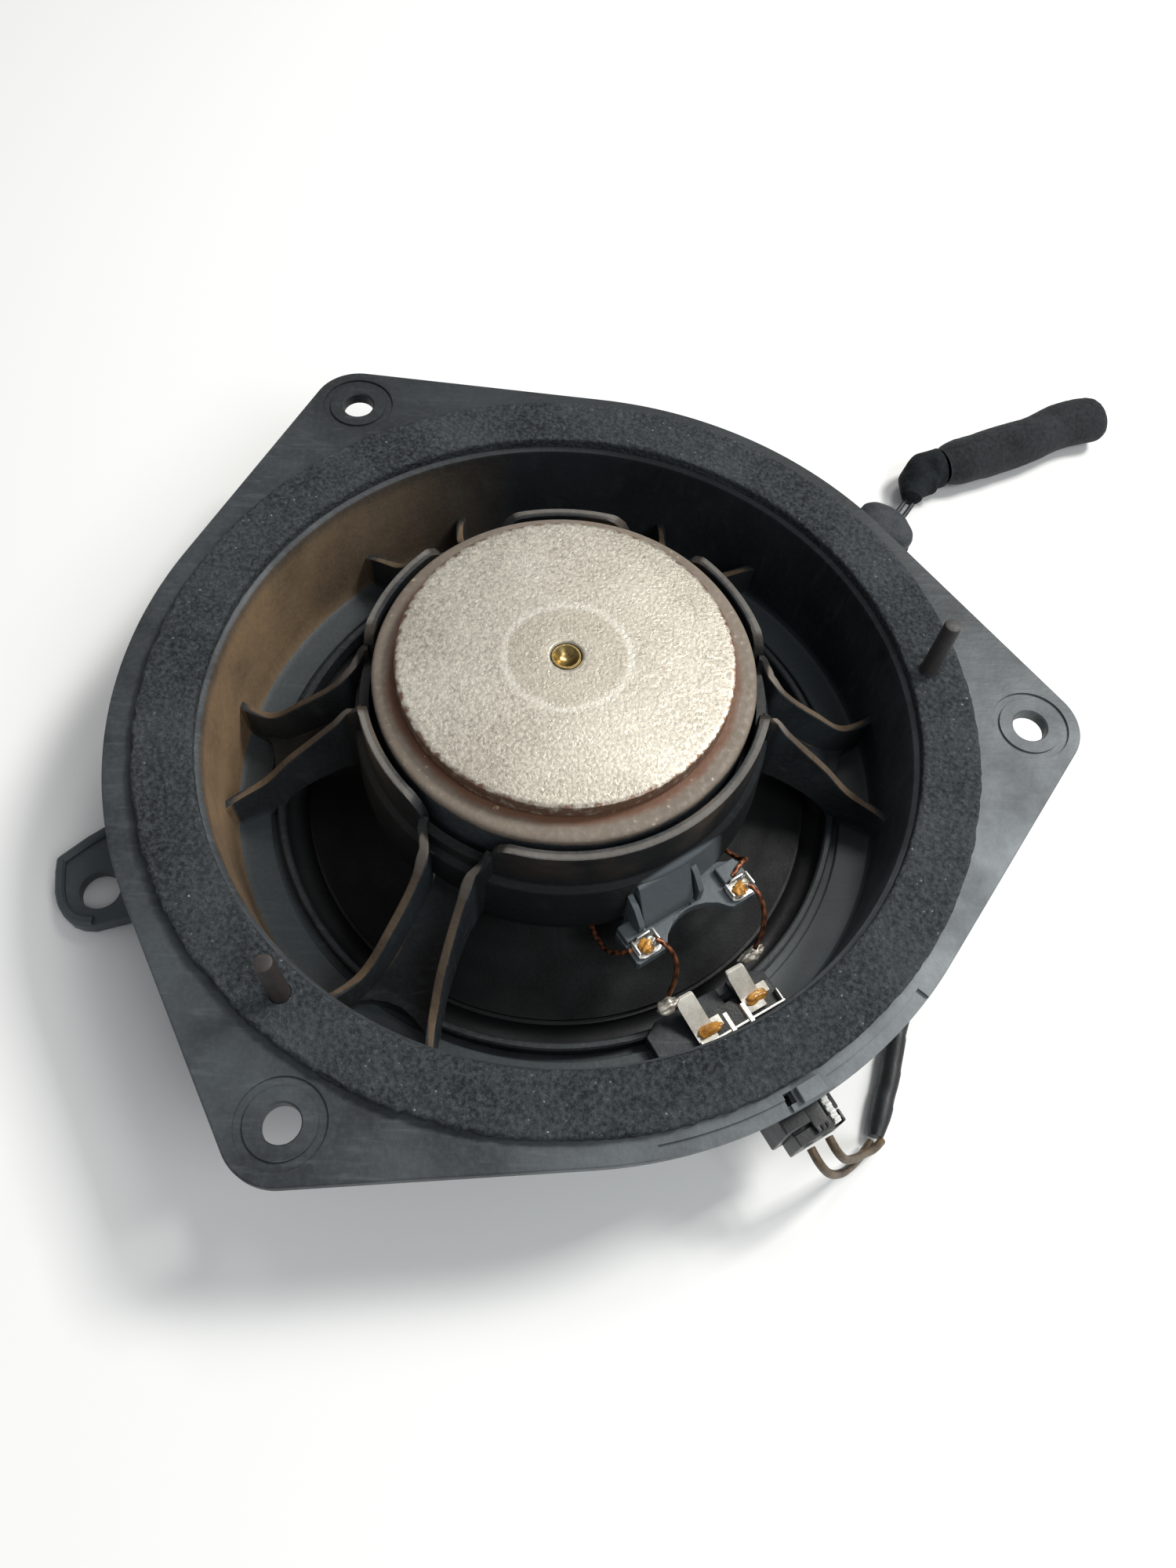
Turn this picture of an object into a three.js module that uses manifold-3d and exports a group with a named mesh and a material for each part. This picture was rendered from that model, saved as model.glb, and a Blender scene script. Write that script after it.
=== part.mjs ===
// Car door woofer in a moulded spacer basket, with its two-wire harness.
// Millimetres, +Z up. The speaker axis is Z, the part stands on its front rim at Z = 0,
// the magnet is on top, and one of the three mounting ears points along +X.
import * as THREE from 'three';
import { mergeVertices } from 'three/addons/utils/BufferGeometryUtils.js';
import Module from 'manifold-3d';

const wasm = await Module();
wasm.setup();

// Driving dimensions
const FINE = 48; // segments of a large visible ring
const MEDIUM = 32; // segments of an inner ring
const SMALL = 16; // segments of a hole or a pin
const GAP = 0.3; // clearance between separate pieces

const FLANGE_TOP = 40;
const FLANGE_THICKNESS = 3;
const RING_RADII = [97, 98.6, 97]; // of the rim after each ear
const EAR_RADIUS = 11.5;
const HOLE_CIRCLES = [105.5, 105.5, 102.8]; // each ear hole's distance from the axis
const EAR_HOLE_RADIUS = 3.8;
const EAR_ANGLES = [0, 120, 240];

const WELL_RADIUS = 78.2; // inner wall at the mouth
const WELL_FOOT = 76.8; // inner wall at the floor
const WALL_OUTER = 80.6;
const COLLAR_OUTER = 79.2;
const FLOOR_TOP = 9;
const FLOOR_BOTTOM = 7;
const RIDGE_INNER = 65.4;
const RIDGE_OUTER = 67.2;
const RIDGE_TOP = 11.3;

const SHROUD_TOP = 58;
const SHROUD_OUTER = 43.4;
const SHROUD_INNER = 41.4;
const DRUM_BOTTOM = 26.5;
const PLATE_LEDGE = 38.8;
const SPIDER_LEDGE = 33.5;

const BACK_PLATE_RADIUS = 35;
const BACK_PLATE_TOP = 63.3;
const BACK_PLATE_BOTTOM = 59.3;
const FERRITE_RADIUS = 40;
const FERRITE_BOTTOM = 44;
const FERRITE_TOP = 59;
const TOP_PLATE_RADIUS = 38.5;
const TOP_PLATE_BOTTOM = 39;
const TOP_PLATE_TOP = 43.7;
const TOP_PLATE_BORE = 14.3;
const POLE_RADIUS = 12.25;

const CONE_EDGE = 59.6;
const CONE_EDGE_Z = 7.3;
const CONE_NECK = 13.4;
const CONE_NECK_Z = 27;
const SURROUND_Z = 6.5; // middle of the surround's glued rim

const SPOKE_ANGLES = [0, 60, 120, 180, 240];
const CONNECTOR_ANGLE = -60;
const CONNECTOR_Z = 27;
const PLATFORM_ANGLE = -57;

const LOCATING_PINS = [[83.3, 12.7], [-53.8, -65.1]];
const PIN_TOP = FLANGE_TOP + 20;
const PIN_RADIUS = 2;

const WIRE_RADIUS = 0.9;
const LOOM_RADIUS = 2.4;
const SLEEVE_RADIUS = 7;

// Colours as the real finishes look, with their roughness and metalness
const FINISHES = {
	basketPlastic: [0x34383c, 0.55, 0],
	foam: [0x26282b, 0.95, 0],
	rubber: [0x17181a, 0.7, 0],
	paper: [0x1b1b1d, 0.85, 0],
	cloth: [0x9a7b46, 0.9, 0],
	zinc: [0xb8ae98, 0.35, 1],
	ferrite: [0x55565a, 0.6, 0],
	steel: [0x8c8a86, 0.4, 1],
	brass: [0xa98a4d, 0.35, 1],
	tin: [0xc9c6bf, 0.3, 1],
	solder: [0x9c968c, 0.35, 1],
	copper: [0x8a5a3c, 0.5, 1],
	polyimide: [0x8a5a22, 0.4, 0],
	plug: [0x1f2123, 0.5, 0],
	lock: [0xd8dad8, 0.5, 0],
	wire: [0xa58c63, 0.5, 0],
	tape: [0x1c1d1f, 0.6, 0],
};

function radians(degrees) {
	return THREE.MathUtils.degToRad(degrees);
}

function polar(radius, degrees, z) {
	return [radius * Math.cos(radians(degrees)), radius * Math.sin(radians(degrees)), z];
}

// Welds a geometry, drops faces that closed up and turns it to face outwards.
function weld(source) {
	const bare = source.clone();
	bare.deleteAttribute('normal');
	bare.deleteAttribute('uv');
	const merged = mergeVertices(bare, 1e-4);
	const points = merged.getAttribute('position');
	const corners = merged.getIndex().array;
	const kept = [];
	const a = new THREE.Vector3();
	const b = new THREE.Vector3();
	const c = new THREE.Vector3();
	let volume = 0;
	for (let i = 0; i < corners.length; i += 3) {
		const [p, q, r] = [corners[i], corners[i + 1], corners[i + 2]];
		if (p === q || q === r || r === p) continue;
		kept.push(p, q, r);
		a.fromBufferAttribute(points, p);
		b.fromBufferAttribute(points, q);
		c.fromBufferAttribute(points, r);
		volume += a.dot(b.cross(c));
	}
	if (volume < 0) kept.reverse();
	merged.setIndex(kept);
	return merged;
}

function toSolid(geometry) {
	const welded = weld(geometry);
	return new wasm.Manifold(new wasm.Mesh({
		numProp: 3,
		vertProperties: new Float32Array(welded.getAttribute('position').array),
		triVerts: new Uint32Array(welded.getIndex().array),
	}));
}

function toGeometry(solid) {
	const mesh = solid.getMesh();
	const geometry = new THREE.BufferGeometry();
	geometry.setAttribute('position', new THREE.BufferAttribute(mesh.vertProperties, 3));
	geometry.setIndex(new THREE.BufferAttribute(mesh.triVerts, 1));
	return geometry;
}

function join(geometries) {
	let solid = toSolid(geometries[0]);
	for (const geometry of geometries.slice(1)) solid = solid.add(toSolid(geometry));
	return solid;
}

function cut(body, tools) {
	let solid = toSolid(body);
	for (const tool of tools) solid = solid.subtract(toSolid(tool));
	return toGeometry(solid);
}

// A ring or a turned piece from its [radius, z] section, which is closed for it.
function turned(section, segments = MEDIUM) {
	const points = section.map(([r, z]) => new THREE.Vector2(r, z));
	const onAxis = section[0][0] === 0 && section.at(-1)[0] === 0;
	if (!onAxis) points.push(points[0].clone());
	return new THREE.LatheGeometry(points, segments).rotateX(Math.PI / 2);
}

function ring(inner, outer, low, high, segments = MEDIUM) {
	return turned([[inner, low], [outer, low], [outer, high], [inner, high]], segments);
}

function disc(radius, low, high, x = 0, y = 0, segments = SMALL) {
	const geometry = new THREE.CylinderGeometry(radius, radius, high - low, segments);
	return geometry.rotateX(Math.PI / 2).translate(x, y, (low + high) / 2);
}

function block(x0, x1, y0, y1, z0, z1) {
	const geometry = new THREE.BoxGeometry(x1 - x0, y1 - y0, z1 - z0);
	return geometry.translate((x0 + x1) / 2, (y0 + y1) / 2, (z0 + z1) / 2);
}

function prism(shape, low, high, curveSegments = 8) {
	const settings = { depth: high - low, bevelEnabled: false, curveSegments };
	return new THREE.ExtrudeGeometry(shape, settings).translate(0, 0, low);
}

function polygon(points) {
	return new THREE.Shape(points.map(([x, y]) => new THREE.Vector2(x, y)));
}

// A strip of even width that follows a line in plan.
function strip(line, width, low, high) {
	const left = [];
	const right = [];
	line.forEach(([x, y], i) => {
		const [ax, ay] = line[Math.max(i - 1, 0)];
		const [bx, by] = line[Math.min(i + 1, line.length - 1)];
		const length = Math.hypot(bx - ax, by - ay);
		const nx = -(by - ay) / length * width / 2;
		const ny = (bx - ax) / length * width / 2;
		left.push([x + nx, y + ny]);
		right.unshift([x - nx, y - ny]);
	});
	return prism(polygon([...left, ...right]), low, high);
}

// A round lead of a given radius through the points of its route.
function lead(route, radius, sides, steps) {
	const curve = new THREE.CatmullRomCurve3(route.map((p) => new THREE.Vector3(...p)), false, 'centripetal');
	const section = [];
	for (let i = 0; i < sides; i++) {
		const angle = 2 * Math.PI * i / sides;
		section.push([radius * Math.cos(angle), radius * Math.sin(angle)]);
	}
	return new THREE.ExtrudeGeometry(polygon(section), { steps, bevelEnabled: false, extrudePath: curve });
}

// A part of a ring between two angles, cut square in plan.
function sector(inner, outer, from, to, low, high) {
	const shape = new THREE.Shape();
	shape.absarc(0, 0, outer, radians(from), radians(to), false);
	shape.absarc(0, 0, inner, radians(to), radians(from), true);
	return prism(shape, low, high, 8);
}

function at(degrees, geometry) {
	return geometry.rotateZ(radians(degrees));
}

// Basket: one moulding with the flange, well, floor, spokes, magnet shroud and connector socket.

function flangePlate() {
	const tangent = (rim, i) =>
		THREE.MathUtils.radToDeg(Math.acos((RING_RADII[rim] - EAR_RADIUS) / HOLE_CIRCLES[i]));
	const outline = new THREE.Shape();
	EAR_ANGLES.forEach((ear, i) => {
		const [x, y] = polar(HOLE_CIRCLES[i], ear, 0);
		const [before, next] = [(i + 2) % 3, (i + 1) % 3];
		const start = radians(ear + tangent(i, i));
		outline.absarc(x, y, EAR_RADIUS, radians(ear - tangent(before, i)), start, false);
		outline.absarc(0, 0, RING_RADII[i], start, radians(ear + 120 - tangent(i, next)), false);
	});
	const mouth = new THREE.Path();
	mouth.absarc(0, 0, WALL_OUTER - 1, 0, 2 * Math.PI, true);
	outline.holes.push(mouth);
	return prism(outline, FLANGE_TOP - FLANGE_THICKNESS, FLANGE_TOP, 10);
}

function wellAndFloor() {
	return turned([
		[COLLAR_OUTER, 0],
		[COLLAR_OUTER, FLOOR_BOTTOM],
		[WALL_OUTER, FLANGE_TOP - FLANGE_THICKNESS - 0.5],
		[WALL_OUTER, FLANGE_TOP],
		[WELL_RADIUS + 1.4, FLANGE_TOP],
		[WELL_RADIUS, FLANGE_TOP - 1.5],
		[WELL_FOOT, FLOOR_TOP],
		[RIDGE_OUTER + 1.2, FLOOR_TOP],
		[RIDGE_OUTER + 1.2, FLOOR_TOP - 0.8],
		[RIDGE_OUTER, FLOOR_TOP - 0.8],
		[RIDGE_OUTER, RIDGE_TOP],
		[RIDGE_INNER, RIDGE_TOP],
		[RIDGE_INNER, FLOOR_BOTTOM],
		[76.4, FLOOR_BOTTOM],
		[76.4, 0],
	], FINE);
}

function shroudAndDrum() {
	const wall = turned([
		[SHROUD_OUTER, SHROUD_TOP],
		[SHROUD_OUTER, 46],
		[45, 44.5],
		[45.6, 31],
		[44.6, DRUM_BOTTOM],
		[42.8, DRUM_BOTTOM],
		[42.8, SPIDER_LEDGE],
		[36, SPIDER_LEDGE],
		[34.5, 35],
		[34.5, PLATE_LEDGE],
		[SHROUD_INNER, PLATE_LEDGE],
		[SHROUD_INNER, SHROUD_TOP],
	], MEDIUM + 8);
	const notches = SPOKE_ANGLES.map((angle) => at(angle, block(40, 47, -6.2, 6.2, 49, SHROUD_TOP + 1)));
	return cut(wall, notches);
}

// One spoke along +X: two thin flanks that flare at the wall, and a sunk web between them.
function spoke() {
	const line = [[41.9, 6.2], [47, 6.2], [60, 6.8], [68, 9], [73.5, 11.6], [78, 15]];
	const mirrored = line.map(([x, y]) => [x, -y]);
	const flanks = toSolid(strip(line, 2, FLOOR_BOTTOM, 60)).add(toSolid(strip(mirrored, 2, FLOOR_BOTTOM, 60)));
	const side = (points) => prism(polygon(points), -18, 18).rotateX(Math.PI / 2);
	const flankSide = side([
		[41.8, SHROUD_TOP], [44, SHROUD_TOP - 1], [46.5, 47], [49.5, 42.5], [60, 31], [69, 21], [78.4, 19],
		[78.4, 8.4], [66, 8.4], [63.5, 13.5], [50, 25], [44.8, 29], [43.4, 34], [41.8, 34],
	]);
	const webPlan = polygon([
		[42, -6.2], [60, -6.8], [68, -9], [72, -10.6], [68.6, -5], [67.6, 0], [68.6, 5], [72, 10.6],
		[68, 9], [60, 6.8], [42, 6.2],
	]);
	const webSide = side([
		[41.8, 40], [45, 36], [50, 30], [60, 19.5], [66, 14], [73, 11], [73, 8.4],
		[66, 8.4], [63.5, 13.5], [50, 25], [44.8, 29], [43.4, 34], [41.8, 34],
	]);
	const web = toSolid(prism(webPlan, FLOOR_BOTTOM, 60)).intersect(toSolid(webSide));
	return toGeometry(flanks.intersect(toSolid(flankSide)).add(web));
}

// Bridge on the drum that carries the two lead terminals, along +X before it is turned.
function terminalBridge() {
	const plan = polygon([
		[44, -12], [46, -16], [54.5, -16], [54.5, -8.5], [51, -5.5], [49.6, 0], [51, 5.5], [54.5, 8.5],
		[54.5, 16], [46, 16], [44, 12],
	]);
	const shelf = prism(plan, 27, 30);
	const back = block(43.6, 47.8, -10.6, 2.2, 28, 44);
	const fins = [-11.8, 3.4].map((y) => block(43.6, 49.2, y - 0.7, y + 0.7, 29, 42));
	return [shelf, back, ...fins];
}

// Raised plinth on the floor that carries the solder tray, along +X before it is turned.
function solderPlinth() {
	const plan = polygon([[65.5, -15.5], [77.4, -15.5], [77.4, 15.5], [65.5, 15.5], [63.5, 12], [63.5, -12]]);
	return prism(plan, FLOOR_BOTTOM + 0.5, 12.5);
}

function socketShroud() {
	const outer = block(79.4, 99.5, -7.2, 7.2, CONNECTOR_Z - 7.5, CONNECTOR_Z + 7.5);
	const cavity = block(85, 104, -5.7, 5.7, CONNECTOR_Z - 5.9, CONNECTOR_Z + 5.9);
	const window = block(88.5, 104, -1.5, 8, CONNECTOR_Z + 0.5, CONNECTOR_Z + 8);
	const pinWays = [-2.2, 2.2].map((y) => block(70, 86, y - 0.8, y + 0.8, CONNECTOR_Z - 0.8, CONNECTOR_Z + 0.8));
	return { outer, cuts: [cavity, window, ...pinWays] };
}

// Side lug near the front rim, with one round hole and a raised outer edge.
const LUG_HOLE = [-106.2, -28.4];
function sideLug() {
	const outline = polygon([
		[-78.2, 3], [-92, -2.5], [-107.4, -12.8], [-117, -21.5], [-115.4, -31], [-113, -35.2], [-109.6, -37.5],
		[-106, -37.8], [-98, -35.4], [-72, -28.6],
	]);
	const plate = prism(outline, 1, 5);
	const edge = [
		[-107.2, -14.2], [-115.9, -22], [-114.4, -30.7], [-112.2, -34.5], [-109.2, -36.5], [-106, -36.8], [-99, -34.7],
	];
	const rim = strip(edge, 2, 4.5, 6.2);
	return [plate, rim];
}

function basket() {
	const socket = socketShroud();
	const spokes = SPOKE_ANGLES.map((angle) => at(angle, spoke()));
	const pins = LOCATING_PINS.map(([x, y]) => disc(PIN_RADIUS, FLANGE_TOP - 1, PIN_TOP, x, y, 10));
	const clipBlock = sector(93.2, 96.6, -61.6, -58.4, FLANGE_TOP - 1, FLANGE_TOP + 1.6);
	let solid = join([
		flangePlate(),
		wellAndFloor(),
		shroudAndDrum(),
		...spokes,
		...terminalBridge().map((geometry) => at(PLATFORM_ANGLE, geometry)),
		at(CONNECTOR_ANGLE, solderPlinth()),
		at(CONNECTOR_ANGLE, socket.outer),
		...sideLug(),
		...pins,
		clipBlock,
	]);
	const earHoles = EAR_ANGLES.flatMap((ear, i) => {
		const [x, y] = polar(HOLE_CIRCLES[i], ear, 0);
		return [
			disc(EAR_HOLE_RADIUS, 30, 50, x, y, SMALL),
			ring(7, 8.7, FLANGE_TOP - 0.5, FLANGE_TOP + 1, SMALL).translate(x, y, 0),
		];
	});
	const edgeStep = [
		sector(94.3, 100, -79, -62.9, FLANGE_TOP - 0.8, FLANGE_TOP + 2),
		sector(94.3, 100, -57.4, -41, FLANGE_TOP - 0.8, FLANGE_TOP + 2),
	];
	const clipSlot = sector(93.2, 95.6, -63.2, -62.1, 30, 50);
	const cuts = [
		...earHoles,
		...edgeStep,
		clipSlot,
		disc(4.7, -1, 10, LUG_HOLE[0], LUG_HOLE[1], SMALL),
		...socket.cuts.map((geometry) => at(CONNECTOR_ANGLE, geometry)),
	];
	for (const tool of cuts) solid = solid.subtract(toSolid(tool));
	return toGeometry(solid);
}

// Gaskets and suspension

function rearGasket() {
	const band = ring(80.5, 92.5, FLANGE_TOP + 0.2, FLANGE_TOP + 2.8, FINE);
	const pinHoles = LOCATING_PINS.map(([x, y]) => disc(PIN_RADIUS + 0.6, 38, 45, x, y, 12));
	return cut(band, pinHoles);
}

function surround() {
	const inner = CONE_EDGE - 3.4;
	const outer = 73.8;
	const rollStart = CONE_EDGE + GAP;
	const rollEnd = RIDGE_OUTER - 0.4;
	const middle = (rollStart + rollEnd) / 2;
	const radius = (rollEnd - rollStart) / 2;
	const arc = (size, from, to) => {
		const points = [];
		for (let i = 0; i <= 5; i++) {
			const angle = radians(from + (to - from) * i / 5);
			points.push([middle + size * Math.cos(angle), SURROUND_Z - size * Math.sin(angle)]);
		}
		return points;
	};
	return turned([
		[inner, SURROUND_Z + 1.3],
		...arc(radius - 0.35, 180, 0).map(([r, z]) => [r, z + 0.3]),
		[outer, SURROUND_Z + 0.3],
		[outer, SURROUND_Z - 0.3],
		...arc(radius + 0.35, 0, 180).map(([r, z]) => [r, z - 0.3]),
		[inner, SURROUND_Z + 0.6],
	]);
}

function spider() {
	const inner = 13.4;
	const flat = 37.4;
	const folds = 8;
	const upper = [];
	for (let i = 0; i <= folds; i++) {
		const middle = i === 0 || i === folds;
		upper.push([inner + (flat - inner) * i / folds, middle ? 32.2 : 32.2 + (i % 2 ? 0.9 : -0.9)]);
	}
	const rim = [[38.4, 33.2], [42.3, 33.2], [42.3, 32.5], [38.6, 32.5]];
	const lower = upper.slice().reverse().map(([r, z]) => [r, z - 0.6]);
	return turned([...upper, ...rim, ...lower]);
}

// Moving assembly

function coneHeight(radius) {
	const share = (CONE_EDGE - radius) / (CONE_EDGE - CONE_NECK);
	return CONE_EDGE_Z + (CONE_NECK_Z - CONE_EDGE_Z) * share ** 1.12;
}

function cone() {
	const radii = [CONE_EDGE, 50, 38, 26, CONE_NECK];
	const rear = radii.map((r) => [r, coneHeight(r) + 1.2]);
	const front = radii.slice().reverse().map((r) => [r, coneHeight(r) + 0.4]);
	return turned([...rear, ...front]);
}

function dustCap() {
	const edge = 20;
	const base = coneHeight(edge) - 0.1;
	const rise = 7.5;
	const dome = (offset) => {
		const points = [];
		for (let i = 0; i <= 4; i++) {
			const r = edge * i / 4;
			points.push([r, base - rise * (1 - (r / edge) ** 2) - offset]);
		}
		return points;
	};
	return turned([...dome(0.8), ...dome(0).reverse()], 24);
}

// Magnet and pole

function backPlate() {
	const edge = 0.5;
	return turned([
		[3.3, BACK_PLATE_BOTTOM],
		[BACK_PLATE_RADIUS, BACK_PLATE_BOTTOM],
		[BACK_PLATE_RADIUS, BACK_PLATE_TOP - edge],
		[BACK_PLATE_RADIUS - edge, BACK_PLATE_TOP],
		[3.6, BACK_PLATE_TOP],
		[3.3, BACK_PLATE_TOP - 0.4],
	], FINE);
}

function polePiece() {
	return turned([
		[0, 38.5],
		[POLE_RADIUS, 38.5],
		[POLE_RADIUS, FERRITE_TOP + 0.1],
		[2.6, FERRITE_TOP + 0.1],
		[2.6, 50],
		[0, 50],
	], 32);
}

function centreRivet() {
	return turned([
		[0, 50.3],
		[2.2, 50.3],
		[2.2, 60.6],
		[3.1, 62.4],
		[3.1, 63],
		[2.7, 63],
		[1.3, 60.8],
		[1.3, 57.5],
		[0, 57.5],
	], 20);
}

// Terminals

// A solder tab standing on the tray and leaning inwards; +X is radial before it is turned.
function solderTab(y, tip) {
	const side = [[70, 0], [74, 0], [74, 0.8], [70.4, 0.8], [tip + 0.5, 5.4], [tip, 4.8]];
	const points = side.map(([x, z]) => [x, z + 13.4]);
	return prism(polygon(points), -2.3, 2.3).rotateX(Math.PI / 2).translate(0, y, 0);
}

function solderTray() {
	const floor = block(67.5, 74.9, -6.5, 15, 12.6, 13.1);
	const lip = block(74.4, 74.9, -6.5, 15, 12.9, 15.2);
	const end = block(69, 74.9, 14.5, 15, 12.9, 15.2);
	return toGeometry(join([floor, lip, end]));
}

function bead(x, y, z, rx, ry, rz) {
	return new THREE.SphereGeometry(1, 8, 5).rotateX(Math.PI / 2).scale(rx, ry, rz).translate(x, y, z);
}

function bridgeTerminal(y) {
	const base = block(49.8, 54.2, y - 3, y + 3, 30.2, 31);
	const cheeks = [-2.8, 2.3].map((dy) => block(49.8, 53.4, y + dy, y + dy + 0.5, 30.8, 33.2));
	return toGeometry(join([base, ...cheeks]));
}

const JUMPER_ROUTES = [
	[[23.6, -57.4, 20.3], [24.6, -55.2, 24.6], [24.2, -53.0, 29.8], [21.8, -51.1, 33.5], [19.8, -50.0, 34.3]],
	[[43.0, -46.6, 20.3], [44.0, -44.2, 25.0], [43.4, -41.2, 30.6], [41.4, -38.8, 34.0], [39.8, -37.6, 34.4]],
];
const TINSEL_ROUTES = [
	[[14.6, -51.8, 31.8], [12.4, -51.4, 29.2], [9.6, -49.0, 25.6], [6.6, -42.0, 23.2], [4.4, -32.0, 25.0],
		[2.4, -22.0, 27.2], [1.2, -15.2, 28.6]],
	[[36.9, -34.5, 31.6], [38.9, -31.7, 32.0], [40.6, -29.4, 29.4], [39.6, -26.8, 24.6], [34.0, -22.0, 23.4],
		[26.0, -16.8, 25.2], [18.6, -12.0, 27.4], [12.9, -8.3, 28.6]],
];

// Connector and harness, with +X radial before it is turned to the connector's angle

function plugHousing() {
	const body = block(86, 102.5, -5.3, 5.3, CONNECTOR_Z - 5.5, CONNECTOR_Z + 4.2);
	const latch = block(89, 101, -1.2, 2.4, CONNECTOR_Z + 4, CONNECTOR_Z + 6);
	const collar = block(99.9, 102.5, -5.3, 5.6, CONNECTOR_Z - 5.5, CONNECTOR_Z + 5);
	const ways = [-2.2, 2.2].map((y) => block(85, 107, y - 1.3, y + 1.3, CONNECTOR_Z - 1.3, CONNECTOR_Z + 1.3));
	const lockSlot = block(95.1, 107, 2.9, 5.1, CONNECTOR_Z + 2.2, CONNECTOR_Z + 8);
	let solid = join([body, latch, collar]);
	for (const tool of [...ways, lockSlot]) solid = solid.subtract(toSolid(tool));
	return toGeometry(solid);
}

function plugLock() {
	return block(95.9, 102.1, 3.2, 4.8, CONNECTOR_Z + 2.6, CONNECTOR_Z + 5.6);
}

function socketPin(y) {
	return block(72, 94, y - 0.45, y + 0.45, CONNECTOR_Z - 0.45, CONNECTOR_Z + 0.45);
}

function plugContact(y) {
	const outer = block(87, 98, y - 1, y + 1, CONNECTOR_Z - 1, CONNECTOR_Z + 1);
	const bore = block(86, 99, y - 0.7, y + 0.7, CONNECTOR_Z - 0.7, CONNECTOR_Z + 0.7);
	return cut(outer, [bore]);
}

const WIRE_ROUTES = [
	[[49.7, -90.5, 27.0], [50.9, -92.6, 26.4], [53.8, -94.2, 22.0], [58.2, -93.2, 15.0], [62.6, -90.4, 8.6],
		[66.0, -87.5, 4.4], [68.8, -84.4, 2.8]],
	[[53.5, -88.3, 27.0], [54.7, -90.4, 26.4], [57.3, -91.6, 22.4], [61.0, -90.4, 15.8], [65.2, -88.2, 9.6],
		[68.9, -86.2, 5.2], [71.1, -84.3, 3.2]],
];
const LOOM_ROUTE = [
	[70.1, -83.3, 2.6], [72.4, -76.8, 2.6], [74.9, -70.0, 2.6], [77.2, -62.0, 2.6], [80.2, -53.0, 2.6],
	[83.8, -42.0, 2.6], [87.2, -29.0, 2.6], [89.6, -15.0, 2.6], [91.0, 0.0, 2.6], [91.7, 15.0, 2.6],
	[91.8, 30.0, 2.6], [90.8, 44.0, 2.6], [88.8, 57.0, 2.6], [86.8, 67.0, 2.6], [85.6, 74.0, 2.6],
	[86.1, 79.4, 2.7], [88.3, 83.0, 2.8],
];
const GROMMET_CENTRE = [93.2, 87.2];
const GROMMET_TURN = -49.5;
const STRAND_ROUTES = [
	[[97.2, 92.9, 3.6], [98.8, 95.0, 3.9], [100.6, 97.6, 4.4]],
	[[99.0, 91.5, 3.6], [100.6, 93.6, 3.9], [102.4, 96.2, 4.4]],
];
const NECK_ROUTE = [
	[101.8, 97.4, 5.6], [103.4, 101.6, 5.8], [105.6, 105.1, 6.3], [108.3, 107.1, 6.8], [111.1, 108.1, 6.95],
];
const SLEEVE_START = [111.6, 108.3];
const SLEEVE_TURN = 22.2;
const SLEEVE_LENGTH = 57;

function grommet() {
	const outline = new THREE.Shape();
	outline.absellipse(0, 0, 9, 5.6, 0, 2 * Math.PI, false, 0);
	return prism(outline, 0.1, 8.2, 20).rotateZ(radians(GROMMET_TURN)).translate(...GROMMET_CENTRE, 0);
}

// Turned round +Z, then laid along its own direction on the surface.
function laid(geometry) {
	const [x, y] = SLEEVE_START;
	return geometry.rotateY(Math.PI / 2).rotateZ(radians(SLEEVE_TURN)).translate(x, y, SLEEVE_RADIUS + 0.05);
}

function foamSleeve() {
	return laid(turned([
		[5, 0],
		[SLEEVE_RADIUS, 0],
		[SLEEVE_RADIUS, SLEEVE_LENGTH - 4],
		[SLEEVE_RADIUS - 2.4, SLEEVE_LENGTH],
		[0, SLEEVE_LENGTH],
		[0, SLEEVE_LENGTH - 4],
		[5, SLEEVE_LENGTH - 4],
	].reverse(), 16));
}

function inlineConnector() {
	return laid(new THREE.BoxGeometry(6, 6.4, 26).translate(0, 0, 26));
}

const part = new THREE.Group();

function add(name, geometry, finish) {
	const [color, roughness, metalness] = FINISHES[finish];
	const material = new THREE.MeshStandardMaterial({ color, roughness, metalness });
	const mesh = new THREE.Mesh(weld(geometry), material);
	mesh.name = name;
	part.add(mesh);
}

add('basket', basket(), 'basketPlastic');
add('rear_gasket', rearGasket(), 'foam');
add('front_gasket', ring(67.5, 74, 2.6, SURROUND_Z - 0.5), 'foam');
add('surround', surround(), 'rubber');
add('spider', spider(), 'cloth');
add('cone', cone(), 'paper');
add('dust_cap', dustCap(), 'paper');
add('voice_coil_former', ring(12.75, 13.05, 26, 48), 'polyimide');
add('voice_coil_winding', ring(13.15, 13.85, 35.4, 47.2), 'copper');
add('top_plate', ring(TOP_PLATE_BORE, TOP_PLATE_RADIUS, TOP_PLATE_BOTTOM, TOP_PLATE_TOP), 'steel');
add('ferrite_magnet', ring(20, FERRITE_RADIUS, FERRITE_BOTTOM, FERRITE_TOP, FINE), 'ferrite');
add('back_plate', backPlate(), 'zinc');
add('pole_piece', polePiece(), 'steel');
add('centre_rivet', centreRivet(), 'brass');
add('solder_tray', at(CONNECTOR_ANGLE, solderTray()), 'tin');

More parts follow.
